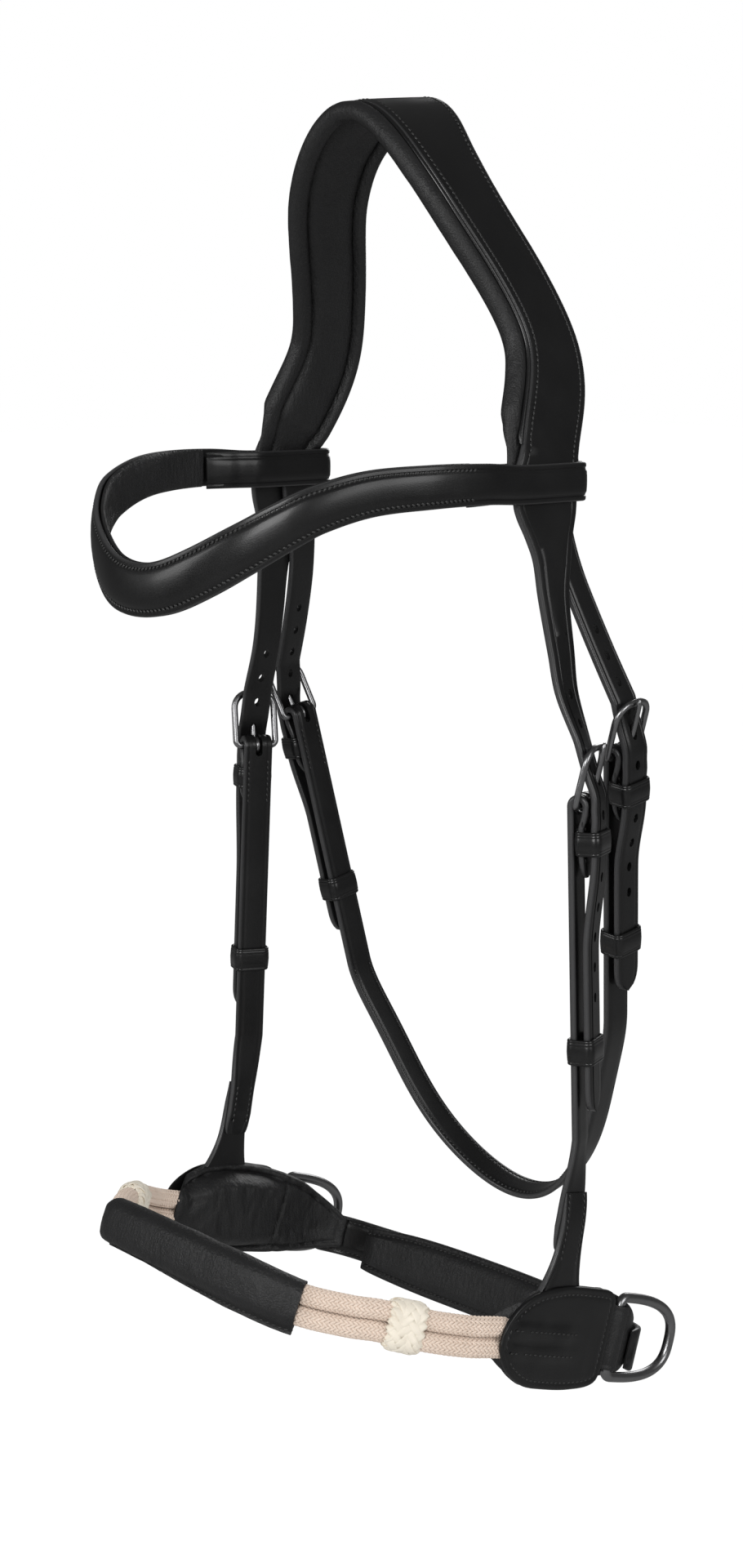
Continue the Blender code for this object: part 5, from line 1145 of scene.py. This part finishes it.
padLook = {"rim": 4.3 * mm, "rimWide": 1.9 * mm, "channel": 3.8 * mm, "channelDeep": 1.1 * mm,
           "rise": 6.5 * mm, "fold": 23.0 * mm, "foldDeep": 3.2 * mm, "sunk": 2.2 * mm, "wrinkle": 0.85 * mm,
           "fine": 0.38 * mm, "oval": 0.85, "faceEnd": 0.434}
faceLook = {"round": 1.3 * mm, "ropeLift": 0.85 * mm, "dent": 0.55 * mm, "groove": 0.32 * mm,
            "sewn": 3.3 * mm, "sink": nose["facing"] * 0.15}
for sideName, label, side in sides:
    table = smoothRows([
        (y * nose["length"], low * nose["high"], high * nose["high"], 0.0, 0.0, 1.0, outer, inner)
        for y, low, high, outer, inner in padShares], 1.0 * mm)
    yStart, yEnd = table[0][0], table[-1][0]
    rings = []
    for row in table:
        y, low, high, outer, inner = row[0], row[1], row[2], max(0.0, row[6]), row[7]
        middle, tall = (low + high) / 2, high - low
        face = nose["plane"] - outer * nose["deep"]
        mouth = (rope["sink"] + rope["radius"] * 0.85) * max(0.0, 1.0 - (y - yStart) / (9.0 * mm))
        share = clamp((y / nose["length"] - 0.14) / 0.21)
        base = nose["plane"] - max(outer, padLook["faceEnd"] * eased(share)) * nose["deep"]
        deep = max(inner * nose["deep"] - nose["plane"] + base, nose["rim"])
        entry = 0.88 + 0.12 * min(1.0, (y - yStart) / (2.0 * mm))
        ring = []
        for k in range(47):
            angle = math.pi * (k + 0.35) / 46.7
            upShare = math.cos(angle)
            reach = abs(upShare) ** padLook["oval"]
            z = middle + tall / 2 * math.copysign(reach, upShare)
            fromRim = min(tall / 2 * (1.0 - reach), (y - yStart) * 1.6 + 0.5 * mm,
                          (yEnd - y) * 0.9 + 0.5 * mm)
            rimHigh = min(padLook["rim"], deep)
            roll = rimHigh * math.sqrt(max(0.0, 1.0 - (1.0 - min(1.0, fromRim / padLook["rimWide"])) ** 2))
            inside = clamp((fromRim - padLook["channel"]) / padLook["rise"])
            body = (deep - rimHigh) * inside * (2.0 - inside)
            channel = padLook["channelDeep"] * math.exp(-((fromRim - padLook["channel"]) / (0.75 * mm)) ** 2)
            foldAt = padLook["fold"] + (z - middle) * 0.10
            crease = padLook["foldDeep"] * math.exp(-((y - foldAt) / (1.5 * mm)) ** 2) * inside
            sunk = padLook["sunk"] * inside * clamp((y - foldAt) / (1.0 * mm))
            wrinkle = noise.noise(Vector((y * 190, z * 130, side * 3.0))) * padLook["wrinkle"] \
                + noise.noise(Vector((y * 520, z * 300, side * 7.0))) * padLook["fine"]
            body = roll + body - channel - crease - sunk
            inward = max(0.3 * mm, body + wrinkle * min(1.0, fromRim / (2.0 * mm)))
            offRopes = abs(z + rope["drop"]) / (2 * rope["radius"] + 2.2 * mm)
            if offRopes < 1.0 and y < 0.0:
                cover = (1.0 - offRopes ** 2.6) ** 0.385 * (rope["sink"] + rope["radius"] + 1.0 * mm)
                inward = max(inward, (cover + wrinkle * 0.5) * entry)
            inward = max(inward, mouth + 0.9 * mm)
            ring.append(nosePoint((base - inward) * side, y, z))
        for inset, share in ((gap, -0.97), (gap * 0.2, -0.6), (gap * 0.2, -0.2), (gap * 0.2, 0.2),
                             (gap * 0.2, 0.6), (gap, 0.97)):
            ring.append(nosePoint((face - inset - mouth) * side, y, middle + tall / 2 * share))
        rings.append(ring)
    node = "pad_lining_" + sideName
    padLining = makePiece("padLining" + label, skin(rings), softLeather, node, sharpFrom=65.0)
    # facing: a leather patch over the whole pad, rounded at its rim, swelling over the two ropes
    loop = closedCurve([(a * nose["length"], b * nose["high"]) for a, b in padOutline], 120)
    yLow, yHigh = min(point[0] for point in loop), max(point[0] for point in loop)

    def spanAt(y):
        heights = []
        for a, b in zip(loop, loop[1:] + loop[:1]):
            if (a[0] - y) * (b[0] - y) <= 0 and a[0] != b[0]:
                heights.append(a[1] + (b[1] - a[1]) * (y - a[0]) / (b[0] - a[0]))
        return min(heights), max(heights)

    def faceLift(y, z, fromRim):
        rounded = math.sqrt(max(0.0, 1.0 - (1.0 - min(1.0, fromRim / faceLook["round"])) ** 2))
        lift = nose["facing"] * (0.35 + 0.65 * rounded)
        fade = clamp((10.0 * mm - y) / (12.0 * mm)) * clamp((fromRim - 3.0 * mm) / (4.0 * mm))
        for ropeZ in (rope["radius"] - rope["drop"], -rope["radius"] - rope["drop"]):
            lift += fade * faceLook["ropeLift"] * max(0.0, 1.0 - ((z - ropeZ) / (rope["radius"] * 0.95)) ** 2)
        dent = noise.noise(Vector((y * 90, z * 90, side))) * faceLook["dent"]
        lift += dent * min(1.0, fromRim / (3.0 * mm))
        lift -= faceLook["groove"] * math.exp(-((fromRim - faceLook["sewn"]) / (0.6 * mm)) ** 2)
        return lift - faceLook["sink"]

    rings = []
    for k in range(73):
        y = (yLow + 0.15 * mm) + (yHigh - yLow - 0.3 * mm) * (1 - math.cos(math.pi * k / 72)) / 2
        low, high = spanAt(y)
        ring = []
        for j in range(41):
            share = math.cos(math.pi * j / 40)
            z = (low + high) / 2 + (high - low) / 2 * share
            fromRim = min((high - low) / 2 * (1 - abs(share)), (y - yLow) * 0.9, yHigh - y)
            ring.append(nosePoint((nose["plane"] + gap + faceLift(y, z, fromRim)) * side, y, z))
        for share in (-0.99, -0.5, 0.0, 0.5, 0.99):
            z = (low + high) / 2 + (high - low) / 2 * share
            ring.append(nosePoint((nose["plane"] + gap * 0.9) * side, y, z))
        rings.append(ring)
    node = "pad_facing_" + sideName
    makePiece("padFacing" + label, skin(rings), strapLeather, node, sharpFrom=60.0)

    def onFace(y, z, fromRim=20.0 * mm):
        lift = faceLift(y, z, fromRim) + 0.06 * mm
        return nosePoint((nose["plane"] + gap + lift) * side, y, z)

    threads = bmesh.new()
    outward = Vector((side, 0.0, 0.0))
    points = []
    for i, point in enumerate(loop + loop[:1]):
        after, before = loop[(i + 1) % len(loop)], loop[i - 1 if i < len(loop) else -1]
        way = (after - before).normalized()
        inner = Vector((-way.y, way.x)) * faceLook["sewn"]
        if (point + inner).length > point.length:
            inner = -inner
        points.append(onFace(*(point + inner), faceLook["sewn"]))
    stitches(threads, points, [outward] * len(points), pitch=2.7 * mm)
    for z in (3.0 * mm, -6.5 * mm):
        for first, last in ((-36, -30), (-27, 5)):
            points = [onFace(y * mm, z) for y in range(first, last)]
            stitches(threads, points, [outward] * len(points), pitch=2.9 * mm)
    makeThreads("padStitches" + label, threads, node)
print("cheek pads made")


# Two braided ropes side by side
ropeShares = (
    ((0.000, -1.000, 0.20, 0.25), (0.365, -0.930, -0.45, 0.60), (0.538, -0.829, -1.20, 0.85),
     (0.680, -0.720, -1.15, 1.00)),
    ((0.938, -0.400, -0.70, 0.35), (0.958, -0.310, -0.47, 0.0), (0.958, -0.155, -0.35, 0.0)))
noseReach = 129.0 * mm
knot = {"long": 15.0 * mm, "high": 22.2 * mm, "thick": 13.8 * mm, "span": 88.5 * mm, "ahead": 75.0 * mm,
        "heading": math.radians(55.0), "drop": 4.0 * mm, "lift": 4.5 * mm, "lead": 3.0 * mm}


def ropeHalf(lift, lead):
    front, rear = [[
        rowAt((x * nose["plane"], y * noseReach - lead * r, z * rope["radius"] + lift * r), up, 0.0)
        for x, y, z, r in shares] for shares in ropeShares]
    for step in (-knot["long"] * 0.75, knot["long"] * 0.75):
        place = (knot["span"] + math.cos(knot["heading"]) * step,
                 math.sin(knot["heading"]) * step - knot["ahead"] - lead, lift - knot["drop"])
        front.append(rowAt(place, up, 0.0))
    end = (nose["plane"] - rope["sink"], rope["in"] - nose["length"] / 2 - 2 * gap, -rope["drop"])
    return front + rear + [rowAt(end, up, 0.0)]


farHalf = otherSide(ropeHalf(knot["lift"], knot["lead"]))
ropeRoute = evened(smoothRows(farHalf[:-1] + ropeHalf(0.0, 0.0)[1:], 0.8 * mm), 0.8 * mm)
ropeFrames = framesOf(ropeRoute)
braid = {"carriers": 16, "lay": 31.0 * mm, "weave": 0.40 * mm, "halfWide": 0.63 * mm, "halfThick": 0.48 * mm,
         "centre": 3.52 * mm, "step": 0.55 * mm, "hidden": 56.0 * mm}


def toNose(frames):
    turnOnly = noseTurn.to_3x3()
    return [(noseTurn @ place, *[turnOnly @ way for way in ways]) for place, *ways in frames]


ropeWorld = toNose(ropeFrames)
fineRoute = evened(ropeRoute, braid["step"])
fineFrames = toNose(framesOf(fineRoute))
firstShown = next(i for i, row in enumerate(fineRoute) if row[0] > -braid["hidden"])
shownRuns = (fineFrames[:firstShown], fineFrames[len(fineFrames) - firstShown:])
yarnOutline = circle(6, braid["halfWide"], braid["halfThick"])
for ropeName, middle in (("Upper", rope["radius"]), ("Lower", -rope["radius"])):
    core = rope["radius"] - 1.15 * mm
    bm = skin([onFrame(here, circle(12, core, core, middle)) for here in ropeWorld[::3]])
    for shown in shownRuns:
        for way in (1.0, -1.0):
            for carrier in range(braid["carriers"]):
                rings = []
                for i, here in enumerate(shown):
                    turns = i * braid["step"] / braid["lay"]
                    angle = math.tau * (way * turns + carrier / braid["carriers"])
                    lie = math.cos(math.pi / 2 * (2 * carrier + way * 2 * braid["carriers"] * turns - 0.5))
                    radial = braid["centre"] + braid["weave"] * way * clamp(lie * 1.25, -1.0)
                    outward = here[1] * math.cos(angle) + here[2] * math.sin(angle)
                    tangent = here[3] + (here[2] * math.cos(angle) - here[1] * math.sin(angle)) \
                        * (way * math.tau * braid["centre"] / braid["lay"])
                    wide = tangent.normalized().cross(outward)
                    centre = here[0] + here[1] * middle + outward * radial
                    rings.append(laid(centre, wide, outward, yarnOutline))
                joinInto(bm, skin(rings))
    node = "rope_" + ropeName.lower()
    makePiece("rope" + ropeName, bm, ropeYarn, node, sharpFrom=80.0)
print("ropes made")


def stadium(halfHigh, halfThick, count, fin=0.0):
    straight = halfHigh - halfThick
    points = []
    for k in range(count):
        angle = math.tau * k / count
        a, b = halfThick * math.cos(angle), halfThick * math.sin(angle)
        points.append((math.copysign(straight, a) * min(1.0, abs(math.cos(angle)) * 3) + a, b))
    if fin > 0.0:
        for i, (a, b) in enumerate(points):
            if a < -halfHigh + halfThick * 0.25:
                share = (-a - halfHigh + halfThick * 0.25) / (halfThick * 0.25)
                points[i] = (a - fin * share, math.copysign(max(1.2 * mm * share, abs(b) * (1 - share)), b))
    return points


def closeEnds(bm, first):
    # joins an outer and an inner tube at both ends, first the one whose places pass the test
    for test in (first, lambda spot: True):
        rims = [edge for edge in bm.edges if len(edge.link_faces) == 1 and test(edge.verts[0].co)]
        bmesh.ops.bridge_loops(bm, edges=rims)
    bmesh.ops.recalc_face_normals(bm, faces=bm.faces)


# Sleeve over the nose, sewn along its lower edge
sleeve = {"span": 60.0 * mm, "high": 20.8 * mm, "thick": 13.2 * mm, "fin": 2.8 * mm, "endShare": 0.95}
boreHigh, boreThick = rope["radius"] * 2 + gap * 2, rope["radius"] + gap
kept = [(row, here) for row, here in zip(ropeRoute, ropeWorld) if abs(row[0]) <= sleeve["span"]][::2]


def sleeveHigh(x):
    swell = 1.0 - (abs(x) / sleeve["span"]) ** 2
    return sleeve["high"] * (sleeve["endShare"] + (1 - sleeve["endShare"]) * swell) / 2


rings = []
for row, here in kept:
    high = sleeveHigh(row[0])
    finShare = clamp(0.40 + row[0] / (55.0 * mm), 0.08)
    outline = stadium(high, sleeve["thick"] / 2, 56, sleeve["fin"] * finShare)
    ring = onFrame(here, outline)
    for k, (a, b) in enumerate(outline):
        low = clamp((2.0 * mm - a) / (9.0 * mm))
        crease = noise.noise(Vector(((row[0] + a * 0.5) * 560, a * 90, math.copysign(1.0, b) * 5.0)))
        crease *= 0.40 * mm * (0.25 + low)
        soft = noise.noise(Vector((row[0] * 70, a * 60, b * 60))) * 0.35 * mm
        ring[k] = ring[k] + (ring[k] - here[0]).normalized() * (crease + soft) * (0.2 if a < -high else 1.0)
    rings.append(ring)
outerBm = skin(rings, capped=False)
joinInto(outerBm, skin([onFrame(here, stadium(boreHigh, boreThick, 56)) for row, here in kept], capped=False))
closeEnds(outerBm, lambda spot: spot.x > 0)
makePiece("noseSleeve", outerBm, softLeather, "nose_sleeve", sharpFrom=55.0)
threads = bmesh.new()
for rise in (1.0, -1.0):
    stitchAlong(threads, [here for row, here in kept], [-sleeveHigh(row[0]) - 1.2 * mm for row, here in kept],
                1.28 * mm * rise, first=0.58, pitch=2.7 * mm)
makeThreads("sleeveStitches", threads, "nose_sleeve")
print("sleeve made")


# Woven knots round both ropes
weave = {"strands": 12, "turns": 0.3333, "halfWide": 1.80 * mm, "halfThick": 0.46 * mm, "lift": 0.22 * mm,
         "wall": 0.80 * mm, "round": 2.6 * mm}
cordOutline = [(weave["halfWide"] * math.copysign(abs(a) ** 0.7, a), weave["halfThick"] * b)
               for a, b in circle(10, 1.0, 1.0)]
for sideName, label, side in sides:
    heading = Vector((math.cos(knot["heading"]) * side, math.sin(knot["heading"]), 0.0))
    middle = Vector((knot["span"] * side, -knot["ahead"], -knot["drop"]))
    if side < 0:
        middle += Vector((0.0, -knot["lead"], knot["lift"]))
    outWay = heading.cross(up)

    def knotPoint(along, share, rise):
        # share runs evenly round the oval that hugs both ropes
        late = max(0.0, (abs(along) - 0.42) / 0.58)
        sink = weave["round"] * (1.0 - math.sqrt(max(0.0, 1.0 - late ** 2)))
        high = knot["high"] / 2 - weave["wall"] - sink + rise
        thick = knot["thick"] / 2 - weave["wall"] - sink + rise
        straight = high - thick
        total = straight * 4 + math.tau * thick
        gone = (share % 1.0) * total
        if gone < straight:
            a, b = gone, thick
        elif gone < straight + math.pi * thick:
            angle = (gone - straight) / thick
            a, b = straight + thick * math.sin(angle), thick * math.cos(angle)
        elif gone < straight * 3 + math.pi * thick:
            a, b = straight * 2 + math.pi * thick - gone, -thick
        elif gone < straight * 3 + math.tau * thick:
            angle = (gone - straight * 3 - math.pi * thick) / thick
            a, b = -straight - thick * math.sin(angle), -thick * math.cos(angle)
        else:
            a, b = gone - total, thick
        return nosePoint(*(middle + heading * knot["long"] / 2 * along * 0.96 + up * a + outWay * b))

    rings = [[knotPoint(-1 + 2 * i / 20, k / 44, -0.12 * mm) for k in range(44)] for i in range(21)]
    bm = skin(rings, capped=False)
    joinInto(bm, skin([[nosePoint(*spot) for spot in laid(
        middle + heading * knot["long"] / 2 * s * 0.93, up, outWay, stadium(boreHigh, boreThick, 44))]
        for s in (-1.0, 1.0)], capped=False))
    ends = [nosePoint(*(middle + heading * knot["long"] / 2 * s)) for s in (1.0, -1.0)]
    closeEnds(bm, lambda spot: (spot - ends[0]).length < (spot - ends[1]).length)
    for way in (1.0, -1.0):
        for strand in range(weave["strands"]):
            rings = []
            for i in range(49):
                along = -1 + 2 * i / 48
                share = strand / weave["strands"] + way * weave["turns"] * along / 2
                lie = math.cos(math.pi / 2 * (weave["strands"] * weave["turns"] * along + 0.5))
                rise = weave["lift"] * way * clamp(lie * 1.3, -1.0)
                here = knotPoint(along, share, rise)
                ahead = knotPoint(along + 0.01, share + way * weave["turns"] * 0.005, rise)
                outward = (knotPoint(along, share, rise + 1.0 * mm) - here).normalized()
                wide = (ahead - here).normalized().cross(outward).normalized()
                rings.append(laid(here, wide, outward, cordOutline))
            joinInto(bm, skin(rings))
    tag = "rope_knot_" + sideName
    makePiece("ropeKnot" + label, bm, knotYarn, tag, tag, sharpFrom=70.0)
print("knots made")


# Rein rings in their tabs
ring = {"wire": 2.25 * mm, "armY": nose["length"] * 0.436, "high": 34.5 * mm, "deep": 39.0 * mm,
        "rise": 2.5 * mm, "corner": 4.0 * mm, "plane": 108.0 * mm, "tabHigh": 27.7 * mm, "tab": 1.4 * mm,
        "tabIn": nose["length"] * 0.242, "tabFold": 5.0 * mm, "square": 0.72}
for sideName, label, side in sides:
    arm = Vector((ring["plane"] * side, ring["armY"], ring["rise"]))
    halfHigh, corner = ring["high"] / 2, ring["corner"]
    points = []
    for way, start in ((-1.0, 270), (1.0, 180)):
        centre = arm + back * corner + up * (halfHigh - corner) * way
        points += arcPoints(centre, back, up, corner, start, start - 90, 8)
    for k in range(1, 40):
        angle = math.pi * k / 40
        high = math.copysign(abs(math.cos(angle)) ** ring["square"], math.cos(angle))
        points.append(arm + back * (corner + (ring["deep"] - corner) * math.sin(angle) ** ring["square"])
                      + up * halfHigh * high)
    points = [noseTurn @ point for point in points]
    tag = "rein_ring_" + sideName
    bm = tube(points, ring["wire"], Vector((1.0, 0.0, 0.0)), True, 20)
    makePiece("reinRing" + label, bm, gunMetal, tag, tag)
    loopRadius = ring["wire"] + gap
    flatAt = [ring["tabFold"] + ring["tabIn"] * share for share in (1.0, 0.5, 0.0)]
    path = [(ahead, gap / 2) for ahead in flatAt]
    for k in range(17):
        turnHere = math.radians(140 - 280 * k / 16)
        path.append((-loopRadius * math.cos(turnHere) - 1.2 * mm * max(0.0, math.cos(turnHere)),
                     loopRadius * math.sin(turnHere)))
    path += [(ahead, -gap / 2) for ahead in reversed(flatAt)]
    rows = [rowAt(arm + Vector((out * side, -ahead, 0.0)), up, ring["tabHigh"]) for ahead, out in path]
    if side < 0:
        rows.reverse()
    bm = strapBand(toNose(framesOf(rows)), halvesOf(rows), 0.0, ring["tab"], inset=2.0 * mm,
                   groove=0.15 * mm)
    makePiece("ringTab" + label, bm, softLeather, "ring_tab_" + sideName, sharpFrom=60.0)
print("rings and tabs made")


# Chin strap and its pad
chin = {"reach": 80.5 * mm, "wide": 19.0 * mm, "thick": 2.8 * mm, "drop": 4.0 * mm, "padWide": 27.2 * mm,
        "padEnd": 20.0 * mm, "padThick": 4.8 * mm, "padSpan": 81.5 * mm, "padDrop": 2.4 * mm}
chinShares = ((0.929, 0.646), (0.912, 0.698), (0.862, 0.786), (0.802, 0.832), (0.729, 0.863), (0.547, 0.932),
              (0.273, 0.981), (0.000, 1.000))
chinHalf = [rowAt((x * nose["plane"], y * chin["reach"], -chin["drop"]), up, chin["wide"])
            for x, y in reversed(chinShares)]
chinRows = evened(smoothRows(otherSide(chinHalf)[:-1] + chinHalf), 1.6 * mm)
chinFrames = toNose(framesOf(chinRows))
thinned = [min(1.0, 0.35 + min(i, len(chinRows) - 1 - i) / 5) for i in range(len(chinRows))]
bm = strapBand(chinFrames, [row[6] / 2 * (0.80 + 0.20 * thin) for row, thin in zip(chinRows, thinned)],
               [-chin["thick"] * thin for thin in thinned], 0.0, groove=0.3 * mm)
makePiece("chinStrap", bm, strapLeather, "chin_strap")
threads = bmesh.new()
sewEdges(threads, chinFrames, [chin["wide"] / 2] * len(chinFrames), 2.2 * mm, -0.1 * mm)
padRows = [(*row[:2], row[2] - chin["padDrop"], *row[3:]) for row in chinRows
           if abs(row[0]) <= chin["padSpan"]]
padFrames = toNose(framesOf(padRows))
padHalves = [(chin["padWide"] + (chin["padEnd"] - chin["padWide"]) * (abs(row[0]) / chin["padSpan"]) ** 4) / 2
             for row in padRows]
rings = []
for row, here, half in zip(padRows, padFrames, padHalves):
    share = abs(row[0]) / chin["padSpan"]
    low, high = gap, gap + chin["padThick"]
    end = clamp((1.0 - share) * 14)
    outline = [(-half + 0.6 * mm, low), (-half * 0.5, low), (0.0, low), (half * 0.5, low),
               (half - 0.6 * mm, low)]
    outline += [(half - inset * mm, low + rise * mm) for inset, rise in (
        (0.0, 0.7), (0.0, 1.9), (0.7, 2.7), (1.9, 2.9), (2.9, 2.3), (3.6, 3.0))]
    outline += [(half * 0.62, high - 0.3 * mm), (half * 0.4, high), (half * 0.2, high), (0.0, high)]
    outline += [(-a, b) for a, b in reversed(outline[5:14])]
    outline = [(a, low + (b - low) * (0.45 + 0.55 * end)) for a, b in outline]
    ringHere = onFrame(here, outline)
    for k in range(11, 19):
        ringHere[k] = ringHere[k] + here[2] * (noise.noise(ringHere[k] * 130.0) * 0.35 * mm)
    rings.append(ringHere)
chinPad = makePiece("chinPad", skin(rings), softLeather, "chin_pad", sharpFrom=55.0)
sewEdges(threads, padFrames, padHalves, 2.9 * mm, gap + 2.45 * mm)
makeThreads("chinStitches", threads, "chin_pad")
print("chin strap and pad made")


# Floor, backdrop and lights
stage = {"low": -0.80, "size": 14.0, "white": 0.86, "mirrored": 0.28, "glow": 1.09, "glowShare": 0.9,
         "glossy": 0.105, "diffuse": 0.40, "aim": Vector((0.0, 0.0, -0.27))}
bm = bmesh.new()
bmesh.ops.create_grid(bm, x_segments=1, y_segments=1, size=stage["size"],
                      matrix=Matrix.Translation((0.0, 0.0, stage["low"])))
floorMesh = meshFrom(bm, "floor")
newObject("floor", floorMesh)
floorLook, tree, shader = newMaterial("floorLook")
path = addNode(tree, "ShaderNodeLightPath").outputs
tree.links.new(blendColours(tree, path["Is Glossy Ray"], [stage["white"]] * 3, [stage["mirrored"]] * 3),
               shader.inputs["Base Color"])
shader.inputs["Roughness"].default_value = 0.9
glow = addNode(tree, "ShaderNodeEmission", Strength=stage["glow"])
mix = addNode(tree, "ShaderNodeMixShader", [
    (combine(tree, "MULTIPLY", path["Is Camera Ray"], stage["glowShare"]), 0), (shader.outputs[0], 1),
    (glow.outputs[0], 2)])
tree.links.new(mix.outputs[0], tree.nodes["Material Output"].inputs["Surface"])
floorMesh.materials.append(floorLook)

# a white room for the camera, a dim one for reflections and bounced light
world = bpy.data.worlds.new("studio")
bpy.context.scene.world = world
world.use_nodes = True
tree = world.node_tree
background = tree.nodes["Background"]
path = addNode(tree, "ShaderNodeLightPath").outputs
seen = combine(tree, "MAXIMUM", path["Is Camera Ray"], path["Is Transmission Ray"])
seen = combine(tree, "MAXIMUM", seen, combine(tree, "MULTIPLY", path["Is Glossy Ray"], stage["glossy"]))
seen = combine(tree, "MAXIMUM", seen, combine(tree, "MULTIPLY", path["Is Diffuse Ray"], stage["diffuse"]))
tree.links.new(seen, background.inputs["Strength"])
background.inputs["Color"].default_value = (1.0, 1.0, 1.0, 1.0)

lamps = {
    "keyLamp": ((0.98, -1.50, 0.35), 0.8, 16.5, True),
    "leftLamp": ((-0.75, -1.70, 0.25), 0.8, 9.0, True),
    "sideLamp": ((1.75, 0.10, 0.35), 0.9, 10.0, True),
    "topLamp": ((0.6, -0.9, 1.7), 1.0, 8.0, False),
    "rimLamp": ((-0.9, 1.7, 0.35), 0.9, 8.0, True)}
for lampName, (place, size, power, mirrored) in lamps.items():
    lampData = bpy.data.lights.new(lampName, "AREA")
    lampData.size = size
    lampData.energy = power
    lamp = newObject(lampName, lampData)
    lamp.location = place
    lamp.visible_glossy = mirrored
    lamp.rotation_mode = "QUATERNION"
    lamp.rotation_quaternion = (stage["aim"] - Vector(place)).to_track_quat("-Z", "Y")
print("lights set")

print("pieces", len(allPieces))
